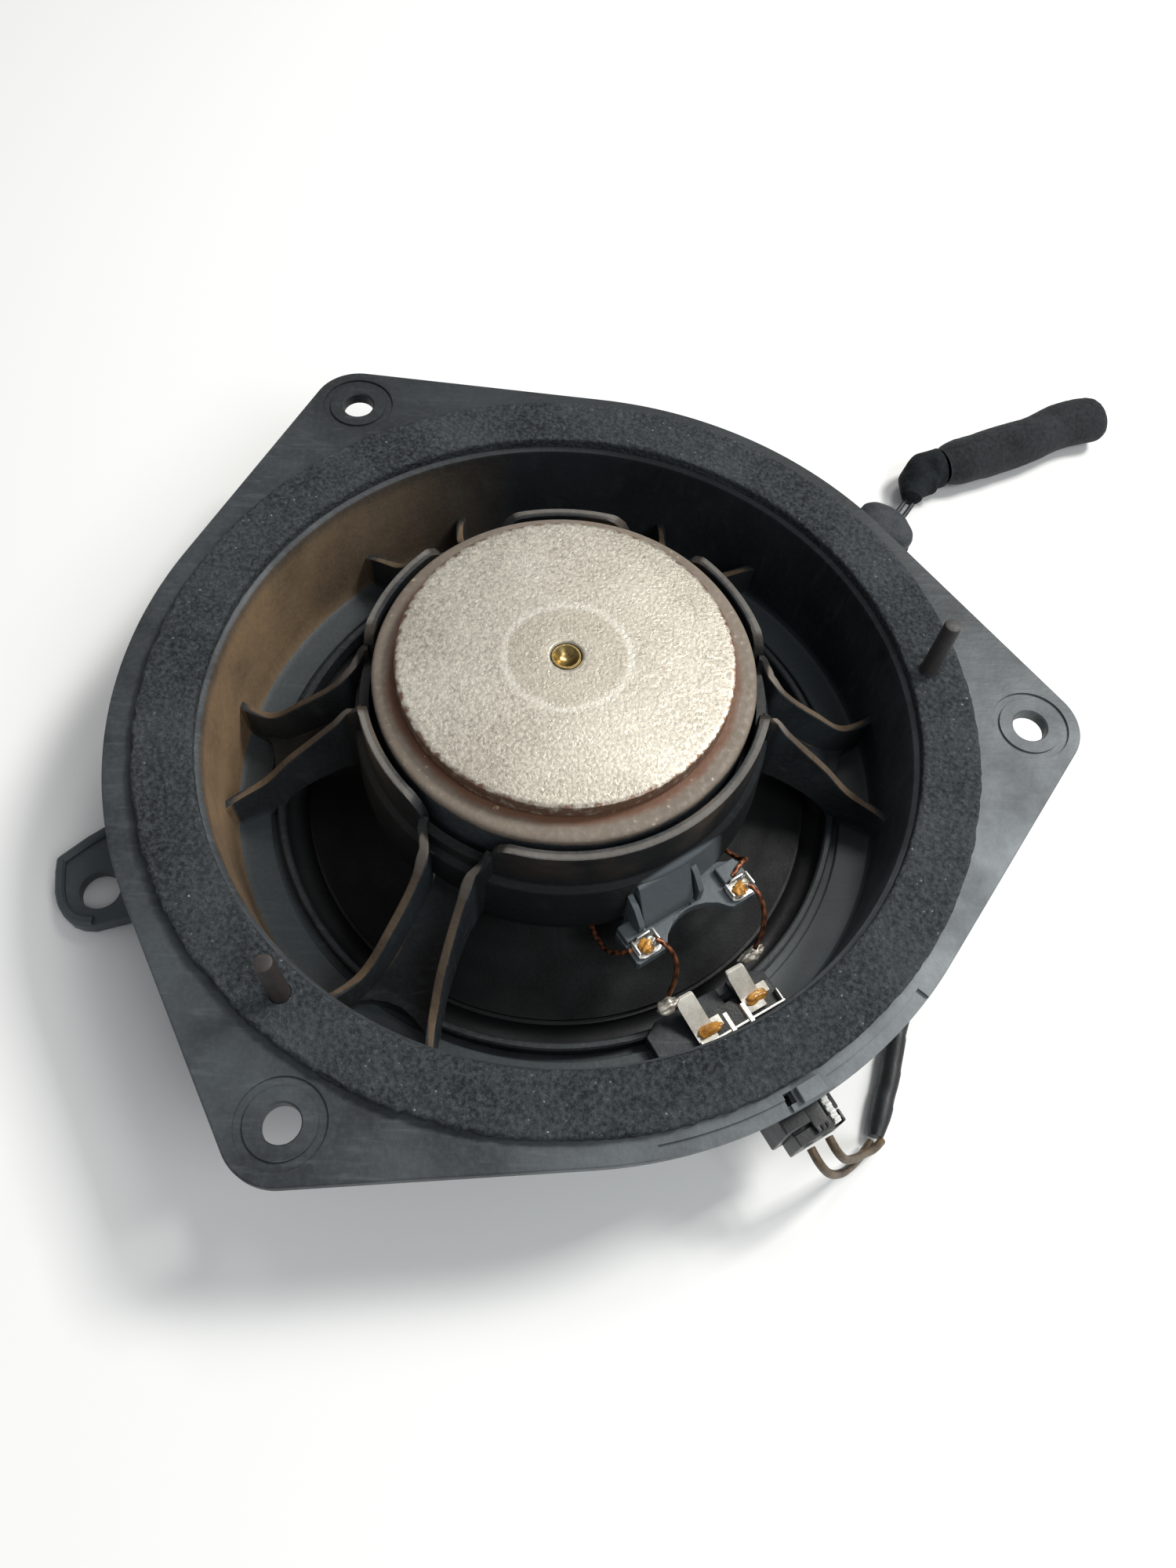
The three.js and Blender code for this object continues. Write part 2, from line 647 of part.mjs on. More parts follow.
const TAB_OFFSETS = [-4, 9];
const TAB_TIPS = [62.6, 64.1];
const TAB_BEADS = [[62.9, -9.6, 2, 3], [61.9, 14, 1.8, 4.1]]; // radius, offset and two half sizes
const TERMINAL_OFFSETS = [-12.2, 12.2];
TAB_OFFSETS.forEach((y, i) => {
	const side = i + 1;
	const [beadRadius, beadOffset, halfDepth, halfWidth] = TAB_BEADS[i];
	add(`solder_tab_${side}`, at(CONNECTOR_ANGLE, solderTab(y, TAB_TIPS[i])), 'tin');
	const drop = bead(beadRadius, beadOffset, 18.1, halfDepth, halfWidth, 1.4);
	add(`tab_solder_${side}`, at(CONNECTOR_ANGLE, drop), 'solder');
	add(`jumper_lead_${side}`, lead(JUMPER_ROUTES[i], 0.6, 8, 8), 'copper');
});
TERMINAL_OFFSETS.forEach((y, i) => {
	const side = i + 1;
	add(`bridge_terminal_${side}`, at(PLATFORM_ANGLE, bridgeTerminal(y)), 'tin');
	add(`terminal_solder_${side}`, at(PLATFORM_ANGLE, bead(51.6, y, 32.3, 1.7, 1.9, 1)), 'solder');
	add(`tinsel_lead_${side}`, lead(TINSEL_ROUTES[i], 0.6, 8, 12), 'copper');
});
[-2.2, 2.2].forEach((y, i) => {
	const side = i + 1;
	add(`socket_pin_${side}`, at(CONNECTOR_ANGLE, socketPin(y)), 'tin');
	add(`plug_contact_${side}`, at(CONNECTOR_ANGLE, plugContact(y)), 'tin');
	add(`wire_${side}`, lead(WIRE_ROUTES[i], WIRE_RADIUS, 8, 14), 'wire');
	add(`strand_${side}`, lead(STRAND_ROUTES[i], 0.7, 8, 4), 'tape');
});
add('plug_housing', at(CONNECTOR_ANGLE, plugHousing()), 'plug');
add('plug_lock', at(CONNECTOR_ANGLE, plugLock()), 'lock');
add('harness_loom', lead(LOOM_ROUTE, LOOM_RADIUS, 10, 22), 'tape');
add('harness_grommet', grommet(), 'rubber');
add('sleeve_neck', lead(NECK_ROUTE, 5.2, 12, 6), 'tape');
add('foam_sleeve', foamSleeve(), 'foam');
add('inline_connector', inlineConnector(), 'plug');

export default part;
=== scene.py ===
import math

import bmesh
import bpy
from mathutils import Matrix, Vector, noise
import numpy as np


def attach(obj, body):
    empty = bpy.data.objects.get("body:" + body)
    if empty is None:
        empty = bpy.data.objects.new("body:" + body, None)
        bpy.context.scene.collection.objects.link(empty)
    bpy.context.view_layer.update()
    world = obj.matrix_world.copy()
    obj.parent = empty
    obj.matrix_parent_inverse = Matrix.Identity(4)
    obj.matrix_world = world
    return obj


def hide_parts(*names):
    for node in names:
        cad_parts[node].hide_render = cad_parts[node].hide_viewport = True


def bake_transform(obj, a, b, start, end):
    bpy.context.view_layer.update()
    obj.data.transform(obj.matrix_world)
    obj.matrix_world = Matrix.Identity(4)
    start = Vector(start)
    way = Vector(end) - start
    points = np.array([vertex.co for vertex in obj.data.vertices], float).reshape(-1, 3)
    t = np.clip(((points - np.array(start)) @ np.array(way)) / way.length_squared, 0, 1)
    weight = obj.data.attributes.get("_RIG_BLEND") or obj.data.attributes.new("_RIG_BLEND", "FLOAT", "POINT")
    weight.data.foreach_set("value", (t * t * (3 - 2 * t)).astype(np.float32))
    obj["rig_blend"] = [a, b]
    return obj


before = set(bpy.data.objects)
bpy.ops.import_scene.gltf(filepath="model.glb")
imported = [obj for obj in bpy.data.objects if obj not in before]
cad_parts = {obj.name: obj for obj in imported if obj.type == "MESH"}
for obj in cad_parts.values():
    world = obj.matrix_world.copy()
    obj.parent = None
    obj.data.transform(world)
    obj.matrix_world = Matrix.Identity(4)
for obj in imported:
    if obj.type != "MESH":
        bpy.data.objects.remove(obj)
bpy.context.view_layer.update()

# A car door woofer seen from its magnet side, in a moulded spacer basket with its harness.
# Shapes are worked out in millimetres and scaled to metres when a piece is finished.
MM = 0.001
scene = bpy.context.scene
Z_AXIS = Vector((0, 0, 1))


# ---------------------------------------------------------------- camera, floor and light

def aimed(position, target, roll=0.0):
    """A turn that looks from position to target, rolled about the line of sight."""
    look = (Vector(target) - Vector(position)).to_track_quat("-Z", "Y").to_matrix().to_4x4()
    return Matrix.Translation(position) @ look @ Matrix.Rotation(math.radians(roll), 4, "Z")


lens = bpy.data.cameras.new("bench_camera")
lens.lens = 27
lens.sensor_width = 36
lens.dof.use_dof = False
lens.clip_start = 0.01
camera = bpy.data.objects.new("bench_camera", lens)
scene.collection.objects.link(camera)
camera.matrix_world = aimed((-0.0069, -0.1360, 0.2622), (0.0055, -0.0172, 0.040), 6.4)
scene.camera = camera

for name, position, target, size, power, tint in (
    ("key_softbox", (0.62, 0.30, 0.88), (0.0, 0.0, 0.03), 0.24, 8.6, (1.0, 0.985, 0.955)),
    ("rear_softbox", (0.27, 0.47, 0.96), (0.0, 0.0, 0.03), 0.28, 2.1, (1.0, 0.985, 0.94)),
    ("front_softbox", (0.52, -0.50, 0.84), (0.0, 0.0, 0.03), 0.5, 4.4, (0.95, 0.985, 1.0)),
):
    softbox = bpy.data.lights.new(name, "AREA")
    softbox.shape = "SQUARE"
    softbox.size = size
    softbox.energy = power
    softbox.color = tint
    lamp = bpy.data.objects.new(name, softbox)
    lamp.matrix_world = aimed(position, target)
    scene.collection.objects.link(lamp)


# ---------------------------------------------------------------- colours and nodes

def hex_colour(code):
    """An sRGB hex value as a linear colour."""
    values = [int(code[i:i + 2], 16) / 255 for i in (1, 3, 5)]
    linear = [v / 12.92 if v <= 0.04045 else ((v + 0.055) / 1.055) ** 2.4 for v in values]
    return (*linear, 1.0)


def fill(tree, node, inputs):
    """Sets a node's inputs, each a value or a link from a socket or a node. They go by name, or
    in the order of the inputs that the node's settings leave in use."""
    if isinstance(inputs, dict):
        pairs = [(node.inputs[key], value) for key, value in inputs.items()]
    else:
        pairs = zip([socket for socket in node.inputs if socket.enabled], inputs)
    for socket, value in pairs:
        if isinstance(value, bpy.types.Node):
            value = next(output for output in value.outputs if output.enabled)
        if isinstance(value, bpy.types.NodeSocket):
            tree.links.new(value, socket)
        else:
            socket.default_value = value


def add(tree, kind, inputs=(), **settings):
    """Adds one shader node with its settings and its inputs."""
    made = tree.nodes.new("ShaderNode" + kind)
    for key, value in settings.items():
        setattr(made, key, value)
    fill(tree, made, inputs)
    return made


# ---------------------------------------------------------------- world and floor

world = bpy.data.worlds.new("pale_studio")
world.use_nodes = True
world.node_tree.nodes["Background"].inputs["Color"].default_value = (0.93, 0.95, 1.0, 1.0)
world.node_tree.nodes["Background"].inputs["Strength"].default_value = 0.31
scene.world = world
scene.view_settings.view_transform = "Standard"

floor_paper = bpy.data.materials.new("seamless_paper_pale")
floor_paper.use_nodes = True
paper_shader = floor_paper.node_tree.nodes["Principled BSDF"]
paper_shader.inputs["Base Color"].default_value = hex_colour("#F4F4F2")
paper_shader.inputs["Roughness"].default_value = 0.95
paper_shader.inputs["Specular IOR Level"].default_value = 0.1

floor_bm = bmesh.new()
bmesh.ops.create_grid(floor_bm, x_segments=1, y_segments=1, size=6.0)
floor_mesh = bpy.data.meshes.new("studio_floor")
floor_bm.to_mesh(floor_mesh)
floor_bm.free()
floor_mesh.materials.append(floor_paper)
studio_floor = bpy.data.objects.new("studio_floor", floor_mesh)
scene.collection.objects.link(studio_floor)


# ---------------------------------------------------------------- how each surface is made

MM_PER_M = 1000  # a pattern's scale is this over its size in millimetres


def blank(name):
    """An empty material with its Principled shader and its Object coordinates."""
    material = bpy.data.materials.new(name)
    material.use_nodes = True
    tree = material.node_tree
    shader = tree.nodes["Principled BSDF"]
    place = add(tree, "TexCoord").outputs["Object"]
    return material, tree, shader, place


def region(tree, *edges):
    """The share of a region, as a product of ramps: each edge is a value, where the region ends,
    where it is full and, if they aren't 0 and 1, the shares at those two places."""
    share = None
    for edge in edges:
        ramp = add(tree, "MapRange", edge)
        share = ramp if share is None else add(tree, "Math", (share, ramp), operation="MULTIPLY")
    return share


def along(tree, x, y, direction):
    """How far a point lies in a direction across the speaker."""
    east = add(tree, "Math", (x, direction[0]), operation="MULTIPLY")
    north = add(tree, "Math", (y, direction[1]), operation="MULTIPLY")
    return add(tree, "Math", (east, north), operation="ADD")


def from_axis(tree, place):
    """The three coordinates, and the distance from the speaker's axis."""
    x, y, z = add(tree, "SeparateXYZ", (place,)).outputs
    east = add(tree, "Math", (x, x), operation="MULTIPLY")
    north = add(tree, "Math", (y, y), operation="MULTIPLY")
    squares = add(tree, "Math", (east, north), operation="ADD")
    return x, y, z, add(tree, "Math", (squares,), operation="SQRT")


def grained(name, dark, light, patch_mm, grain_mm, rough, bump_mm=0.03, metallic=0.0,
            grain_share=0.35, rough_spread=0.1, stretch=(1, 1, 1), shine=0.5):
    """A finish with broad patches of two tones, a fine grain over them and its bump."""
    material, tree, shader, place = blank(name)
    laid = add(tree, "Mapping", {"Vector": place, "Scale": stretch})
    patch = add(tree, "TexNoise", {"Vector": laid, "Scale": MM_PER_M / patch_mm, "Detail": 5.0})
    grain = add(tree, "TexNoise", {"Vector": laid, "Scale": MM_PER_M / grain_mm, "Detail": 3.0})
    fine_part = add(tree, "Math", (grain, grain_share), operation="MULTIPLY")
    broad_part = add(tree, "Math", (patch, 1 - grain_share), operation="MULTIPLY")
    tone = add(tree, "Math", (fine_part, broad_part), operation="ADD")
    paleness = add(tree, "MapRange", (tone, 0.33, 0.67))
    fill(tree, shader, {
        "Base Color": add(tree, "Mix", (paleness, hex_colour(dark), hex_colour(light)), data_type="RGBA"),
        "Roughness": add(tree, "MapRange", (tone, 0.3, 0.7, rough + rough_spread, rough - rough_spread)),
        "Metallic": metallic,
        "Specular IOR Level": shine,
        "Normal": add(tree, "Bump", {"Height": grain, "Distance": bump_mm * MM, "Strength": 1.0}),
    })
    return material


def basket_finish():
    """Glass-filled nylon, moulded: a dull dark grey in cloudy patches, with a paler painted reflection round
    the connector, painted shade on the drum and the flange's far side, fine scuffs and, where road dust has
    lain, a tan film on the well's wall and along the thin top edges; the wall's film is painted only on the
    side where the key light falls, so it is partly painted light."""
    material, tree, shader, place = blank("nylon_glass_filled_moulded")
    x, y, z, radius = from_axis(tree, place)
    cloud = add(tree, "TexNoise", {"Vector": place, "Scale": MM_PER_M / 26, "Detail": 7.0,
                                   "Roughness": 0.62})
    fine = add(tree, "TexNoise", {"Vector": place, "Scale": MM_PER_M / 1.1, "Detail": 4.0})
    skew = add(tree, "Mapping", {"Vector": place, "Rotation": (0, 0, 0.7), "Scale": (1, 7, 1)})
    scuff = add(tree, "TexNoise", {"Vector": skew, "Scale": MM_PER_M / 9, "Detail": 5.0})

    # Painted reflection: the flange is painted paler round the connector, where the lights' reflection falls,
    # and painted shade darkens it behind, on its far side.
    lean = add(tree, "Math", (along(tree, x, y, (0.77, -0.64)), radius), operation="DIVIDE")
    painted_reflection = region(tree, (lean, 0.55, 1.0, 0.1, 0.8), (cloud, 0.3, 0.66, 0.3, 1.0), (radius, 0.0765, 0.081))
    # The same painted reflection on the well's floor below the connector.
    painted_reflection_floor = region(tree, (lean, 0.86, 1.0, 0.0, 0.8), (z, 0.0115, 0.0100))
    painted_reflection = add(tree, "Math", (painted_reflection, painted_reflection_floor), operation="MAXIMUM")
    behind = add(tree, "Math", (along(tree, x, y, (0.26, 0.97)), radius), operation="DIVIDE")
    # The drum and what lies under its rim are painted darker, as painted shade, and the ledge at the well's
    # foot is paler.
    inner = region(tree, (radius, 0.0475, 0.0462, 0.0, 0.75), (z, 0.0578, 0.0572))
    ledge = region(tree, (radius, 0.0672, 0.0690, 0.0, 0.5), (z, 0.0112, 0.0100))
    # The bridge's outward face under the terminals is painted a paler blue-grey: painted light, where the
    # front light falls on it.
    bridge_side = along(tree, x, y, (0.545, -0.839))
    lit_bridge_face = region(tree, (bridge_side, 0.0436, 0.0442), (radius, 0.0590, 0.0575), (z, 0.0265, 0.0275))
    # Handling has left the tall pins brown.
    handled = region(tree, (z, 0.0425, 0.0435, 0.0, 0.6), (radius, 0.0765, 0.081))

    paleness = add(tree, "MapRange", (cloud, 0.35, 0.68))
    colour = add(tree, "Mix", (paleness, hex_colour("#1B1E21"), hex_colour("#373C3F")), data_type="RGBA")
    for share, code in (
        (region(tree, (scuff, 0.56, 0.75, 0.0, 0.3)), "#5A6063"),
        (region(tree, (fine, 0.45, 0.8, 0.0, 0.3)), "#4A5053"),
        # painted reflection round the connector
        (painted_reflection, "#8B9295"),
        # painted shade on the flange's far side
        (region(tree, (behind, 0.5, 0.95, 0.0, 0.55)), "#14171A"),
        # painted shade on the drum and under its rim
        (inner, "#0D0F10"),
        (ledge, "#4E5659"),
        # painted light on the bridge's outward face
        (add(tree, "Math", (lit_bridge_face, 0.75), operation="MULTIPLY"), "#62696D"),
        (handled, "#392E27"),
    ):
        colour = add(tree, "Mix", (share, colour, hex_colour(code)), data_type="RGBA")

    # Dust on the inner wall, round from the lower left to the upper left of the well, painted only on that
    # side, where the key light falls: tan dust and painted light both.
    normal = add(tree, "NewGeometry").outputs["Normal"]
    facing = add(tree, "SeparateXYZ", (normal,)).outputs[2]
    side = add(tree, "Math", (add(tree, "Math", (x, -1.0), operation="MULTIPLY"), radius), operation="DIVIDE")
    wall = region(tree, (radius, 0.0755, 0.0763), (radius, 0.0790, 0.0786), (side, 0.15, 0.95),
                  (z, 0.0415, 0.036), (facing, 0.75, 0.4), (z, 0.0078, 0.0090))
    # Dust on the thin top edges: the shroud's rim, and the spokes' flanks, which repeat at 60
    # degrees and flare towards the wall.
    upward = add(tree, "MapRange", (facing, 0.35, 0.75))
    rim = region(tree, (z, 0.0572, 0.0578), (radius, 0.0419, 0.0424), (radius, 0.0440, 0.0436))
    turn = add(tree, "Math", (y, x), operation="ARCTAN2")
    turn = add(tree, "Math", (turn, math.pi * 13 / 6), operation="ADD")
    turn = add(tree, "Math", (turn, math.pi / 3), operation="MODULO")
    turn = add(tree, "Math", (turn, math.pi / 6), operation="SUBTRACT")
    off_line = add(tree, "Math", (radius, add(tree, "Math", (turn,), operation="SINE")), operation="MULTIPLY")
    off_line = add(tree, "Math", (off_line,), operation="ABSOLUTE")
    flare = add(tree, "MapRange", (radius, 0.047, 0.060, 0.0056, 0.0068))
    for spread in ((radius, 0.060, 0.068, 0.0, 0.0022), (radius, 0.068, 0.080, 0.0, 0.0070)):
        flare = add(tree, "Math", (flare, add(tree, "MapRange", spread)), operation="ADD")
    beside = add(tree, "Math", (off_line, flare), operation="SUBTRACT")
    beside = add(tree, "Math", (beside,), operation="ABSOLUTE")
    flank_top = region(tree, (beside, 0.0016, 0.0011), (radius, 0.0445, 0.0452), (z, 0.0155, 0.018),
                       (radius, 0.0765, 0.0740), (lit_bridge_face, 1.0, 0.0))
    film = add(tree, "Math", (rim, flank_top), operation="MAXIMUM")
    film = add(tree, "Math", (film, region(tree, (upward, 0.0, 1.0, 0.0, 0.6))), operation="MULTIPLY")
    # A thinner brown film on the drum's outside, under its rim.
    drum_film = region(tree, (radius, 0.0470, 0.0460, 0.0, 0.28), (z, 0.046, 0.058), (cloud, 0.42, 0.62))
    # This mask carries the wall's painted light as well as the dust.
    dust_and_light = add(tree, "Math", (wall, film), operation="MAXIMUM")
    dust_and_light = add(tree, "Math", (dust_and_light, drum_film), operation="MAXIMUM")
    crumbs = add(tree, "Math", (cloud, add(tree, "Math", (fine, 0.4), operation="MULTIPLY")), operation="ADD")
    patchy = add(tree, "MapRange", (crumbs, 0.42, 0.85, 0.5, 1.0))
    dust_and_light = add(tree, "Math", (dust_and_light, patchy), operation="MULTIPLY")
    tan = add(tree, "Mix", (cloud, hex_colour("#6A543C"), hex_colour("#977D5E")), data_type="RGBA")
    tan = add(tree, "Mix", (rim, tan, hex_colour("#868078")), data_type="RGBA")
    colour = add(tree, "Mix", (dust_and_light, colour, tan), data_type="RGBA")
    # The flanks are palest where they curl up to the drum.
    knuckle = region(tree, (radius, 0.0500, 0.0480), (flank_top, 0.0, 1.0), (upward, 0.0, 1.0, 0.0, 0.7))
    colour = add(tree, "Mix", (knuckle, colour, hex_colour("#9A9289")), data_type="RGBA")

    dulled = add(tree, "Math", (dust_and_light, 0.35), operation="MULTIPLY")
    gloss = add(tree, "MapRange", (cloud, 0.3, 0.7, 0.62, 0.42))
    height = add(tree, "Math", (fine, scuff), operation="ADD")
    fill(tree, shader, {
        "Base Color": colour,
        "Roughness": add(tree, "Math", (gloss, dulled), operation="ADD"),
        "Specular IOR Level": 0.36,
        "Normal": add(tree, "Bump", {"Height": height, "Distance": 0.08 * MM, "Strength": 1.0}),
    })
    return material


def gasket_finish():
    """Open-cell foam, die cut: a rough black-grey skin of torn cells, with painted glints, near-white
    specks of painted highlight, in some of them. The cells are drawn at 1.3 mm, coarser than the real 0.5 mm,
    to show."""
    material, tree, shader, place = blank("foam_open_cell_die_cut")
    cells = add(tree, "TexVoronoi", {"Vector": place, "Scale": MM_PER_M / 1.3}).outputs["Distance"]
    crumb = add(tree, "TexNoise", {"Vector": place, "Scale": MM_PER_M / 0.9, "Detail": 5.0, "Roughness": 0.7})
    broad = add(tree, "TexNoise", {"Vector": place, "Scale": MM_PER_M / 22, "Detail": 3.0})
    paleness = add(tree, "MapRange", (crumb, 0.38, 0.66))
    colour = add(tree, "Mix", (paleness, hex_colour("#1A1C1E"), hex_colour("#484D50")), data_type="RGBA")
    for share, code in (
        (region(tree, (broad, 0.35, 0.7, 0.0, 0.4)), "#555A5D"),
        # painted glints: near-white specks at some cells' centres
        (region(tree, (cells, 0.2, 0.06), (crumb, 0.56, 0.7)), "#D8DCDC"),
    ):
        colour = add(tree, "Mix", (share, colour, hex_colour(code)), data_type="RGBA")
    crumbs = add(tree, "Math", (crumb, 1.4), operation="MULTIPLY")
    height = add(tree, "Math", (cells, crumbs), operation="ADD")
    fill(tree, shader, {
        "Base Color": colour,
        "Roughness": 0.93,
        "Specular IOR Level": 0.25,
        "Normal": add(tree, "Bump", {"Height": height, "Distance": 0.45 * MM, "Strength": 1.0}),
    })
    return material


def plate_finish():
    """Zinc-plated steel, pressed: a pale warm grey with a fine sparkling crystal grain, a faint
    glue ring round the centre, brown specks and rust creeping in at the rim."""
    material, tree, shader, place = blank("steel_zinc_plated_pressed")
    grain = add(tree, "TexNoise", {"Vector": place, "Scale": MM_PER_M / 0.8, "Detail": 4.0,
                                   "Roughness": 0.65})
    crystal = add(tree, "TexVoronoi", {"Vector": place, "Scale": MM_PER_M / 0.9}).outputs["Color"]
    broad = add(tree, "TexNoise", {"Vector": place, "Scale": MM_PER_M / 19, "Detail": 4.0})
    speck = add(tree, "TexNoise", {"Vector": place, "Scale": MM_PER_M / 1.7, "Detail": 2.0})
    radius = from_axis(tree, place)[3]
    wobble = add(tree, "Math", (radius, region(tree, (broad, 0.0, 1.0, -0.0025, 0.0025))), operation="ADD")
    rust = add(tree, "Math", (radius, region(tree, (speck, 0.0, 1.0, -0.0015, 0.0015))), operation="ADD")
    paleness = add(tree, "MapRange", (grain, 0.3, 0.68))
    colour = add(tree, "Mix", (paleness, hex_colour("#8F887B"), hex_colour("#CDC7B9")), data_type="RGBA")
    for share, code in (
        (region(tree, (broad, 0.4, 0.72, 0.0, 0.4)), "#DDD8CB"),
        (region(tree, (speck, 0.68, 0.74, 0.0, 0.5)), "#8A7A62"),
        (region(tree, (broad, 0.5, 0.3, 0.0, 0.25)), "#A99F93"),
        (region(tree, (wobble, 0.0136, 0.0128, 0.0, 0.3)), "#A49B8A"),
        (region(tree, (wobble, 0.0118, 0.0128, 0.0, 0.42), (wobble, 0.0142, 0.0132)), "#E4E0D6"),
        (region(tree, (rust, 0.0342, 0.0349, 0.0, 0.9)), "#6A4A36"),
    ):
        colour = add(tree, "Mix", (share, colour, hex_colour(code)), data_type="RGBA")
    sparkle = add(tree, "SeparateColor", (crystal,))
    facets = add(tree, "Math", (sparkle, 0.5), operation="MULTIPLY")
    height = add(tree, "Math", (grain, facets), operation="ADD")
    fill(tree, shader, {
        "Base Color": colour,
        "Roughness": add(tree, "MapRange", (sparkle, 0.0, 1.0, 0.24, 0.46)),
        "Metallic": 0.6,
        "Normal": add(tree, "Bump", {"Height": height, "Distance": 0.09 * MM, "Strength": 1.0}),
    })
    return material


def ferrite_finish():
    """Ferrite, sintered and ground: dull blue-grey sides, with a brown film of rust and old
    glue on the rim round the back plate and small pale chips along the edge."""
    material, tree, shader, place = blank("ferrite_sintered_ground")
    grit = add(tree, "TexNoise", {"Vector": place, "Scale": MM_PER_M / 1.4, "Detail": 5.0})
    broad = add(tree, "TexNoise", {"Vector": place, "Scale": MM_PER_M / 11, "Detail": 4.0})
    x, y, z, radius = from_axis(tree, place)
    drift = add(tree, "MapRange", (broad, 0.0, 1.0, -0.0015, 0.0015))
    worn_radius = add(tree, "Math", (radius, drift), operation="ADD")
    worn_height = add(tree, "Math", (z, drift), operation="ADD")
    darkness = add(tree, "MapRange", (grit, 0.35, 0.7))
    stone = add(tree, "Mix", (darkness, hex_colour("#20262A"), hex_colour("#373E43")), data_type="RGBA")
    film = add(tree, "Mix", (broad, hex_colour("#5E5348"), hex_colour("#85796B")), data_type="RGBA")
    for share, code in (
        (region(tree, (grit, 0.5, 0.75, 0.0, 0.4)), "#91867A"),
        (region(tree, (worn_radius, 0.0372, 0.0358, 0.0, 0.9)), "#6B4630"),
    ):
        film = add(tree, "Mix", (share, film, hex_colour(code)), data_type="RGBA")
    on_rim = add(tree, "MapRange", (worn_height, 0.0570, 0.0580))
    colour = add(tree, "Mix", (on_rim, stone, film), data_type="RGBA")
    chip = region(tree, (grit, 0.68, 0.72), (z, 0.056, 0.058))
    fill(tree, shader, {
        "Base Color": add(tree, "Mix", (chip, colour, hex_colour("#B6A994")), data_type="RGBA"),
        "Roughness": add(tree, "MapRange", (grit, 0.3, 0.7, 0.75, 0.5)),
        "Normal": add(tree, "Bump", {"Height": grit, "Distance": 0.12 * MM, "Strength": 1.0}),
    })
    return material


def woven_finish(name, dark, light, thread_mm, rough, metallic):
    """Threads crossing at right angles, drawn by two wave patterns with bands a thread wide."""
    material, tree, shader, place = blank(name)
    waves = {"Vector": place, "Scale": MM_PER_M / thread_mm / 6.28, "Distortion": 0.6}
    warp = add(tree, "TexWave", waves, bands_direction="X").outputs[1]
    weft = add(tree, "TexWave", waves, bands_direction="Y").outputs[1]
    stain = add(tree, "TexNoise", {"Vector": place, "Scale": MM_PER_M / 14, "Detail": 4.0})
    cloth = add(tree, "Math", (warp, weft), operation="ADD")
    cloth = add(tree, "Math", (cloth, 0.5), operation="MULTIPLY")
    threads = add(tree, "Math", (cloth, 0.6), operation="MULTIPLY")
    stains = add(tree, "Math", (stain, 0.4), operation="MULTIPLY")
    paleness = add(tree, "MapRange", (add(tree, "Math", (threads, stains), operation="ADD"), 0.25, 0.7))
    fill(tree, shader, {
        "Base Color": add(tree, "Mix", (paleness, hex_colour(dark), hex_colour(light)), data_type="RGBA"),
        "Roughness": rough,
        "Metallic": metallic,
        "Normal": add(tree, "Bump", {"Height": cloth, "Distance": 0.15 * MM, "Strength": 1.0}),
    })
    return material


BASKET_NYLON = basket_finish()
GASKET_FOAM = gasket_finish()
ZINC_PLATE = plate_finish()
FERRITE = ferrite_finish()
# Resin-dipped cotton, pressed: a tan open weave; threads drawn at 0.9 mm, twice the real size.
SPIDER_COTTON = woven_finish("cotton_resin_dipped_pressed", "#5E4A2C", "#A98A54", 0.9, 0.85, 0.0)
# Copper tinsel, braided over thread: dull brown strands that catch a little light.
TINSEL_COPPER = woven_finish("copper_tinsel_braided", "#4B2C1F", "#A4694A", 0.7, 0.45, 0.65)
# Butyl rubber, moulded: soft black with a greyish bloom.
SURROUND_RUBBER = grained("butyl_rubber_moulded", "#0B0C0D", "#1B1D1F", 12, 0.8, 0.62, 0.03)
# Paper pulp, felted and pressed: charcoal fibres that show as a fine felt.
CONE_PAPER = grained("paper_pulp_pressed", "#070808", "#151718", 9, 0.6, 0.6, 0.05, shine=0.2)
# Polyimide film, rolled: amber and slightly glossy.
POLYIMIDE = grained("polyimide_film_rolled", "#6B3F12", "#A56A24", 6, 0.5, 0.35, 0.01)
# Enamelled copper wire, wound: dark copper with bands across the coil.
COIL_COPPER = grained("copper_enamelled_wound", "#6B2F16", "#B4653A", 8, 0.35, 0.35, 0.04, 1.0,
                      stretch=(0.1, 0.1, 6))
# Mild steel, turned: grey with fine rings and light tarnish.
TURNED_STEEL = grained("steel_mild_turned", "#5E5D5A", "#97948E", 8, 0.5, 0.38, 0.02, 1.0)
# Brass, riveted: yellow metal dulled to brown.
RIVET_BRASS = grained("brass_rivet_headed", "#6E5B38", "#C4AD74", 2.2, 0.5, 0.32, 0.03, 1.0)
# Tinned brass, stamped: near white and shiny, with soft dull clouds.
TINNED_BRASS = grained("brass_tinned_stamped", "#B9B7B0", "#F2F1EC", 3, 0.4, 0.33, 0.012, 0.8)
# Tinned brass, as a separate near-white and barely metallic copy for the tabs: painted light, for the
# brightness the tabs catch, with hardly a reflection.
LIT_TAB_TIN = grained("brass_tinned_painted_lit", "#C9C4B6", "#F4F1E8", 3, 0.5, 0.5, 0.015, 0.15)
# Tinned brass, drawn almost black, glossy in places.
NEAR_BLACK_TIN = grained("brass_tinned_near_black", "#0E1012", "#3A3B39", 2.5, 0.5, 0.3, 0.03, 0.4)
# Solder, reflowed: pearly grey with dull creases.
SOLDER = grained("solder_tin_lead_reflowed", "#7F7A70", "#CFC9BD", 1.6, 0.4, 0.36, 0.07, 0.45)
# Rosin flux, burnt: amber to orange glass.
FLUX = grained("rosin_flux_burnt", "#8A5218", "#E3A750", 1.6, 0.5, 0.15, 0.1)
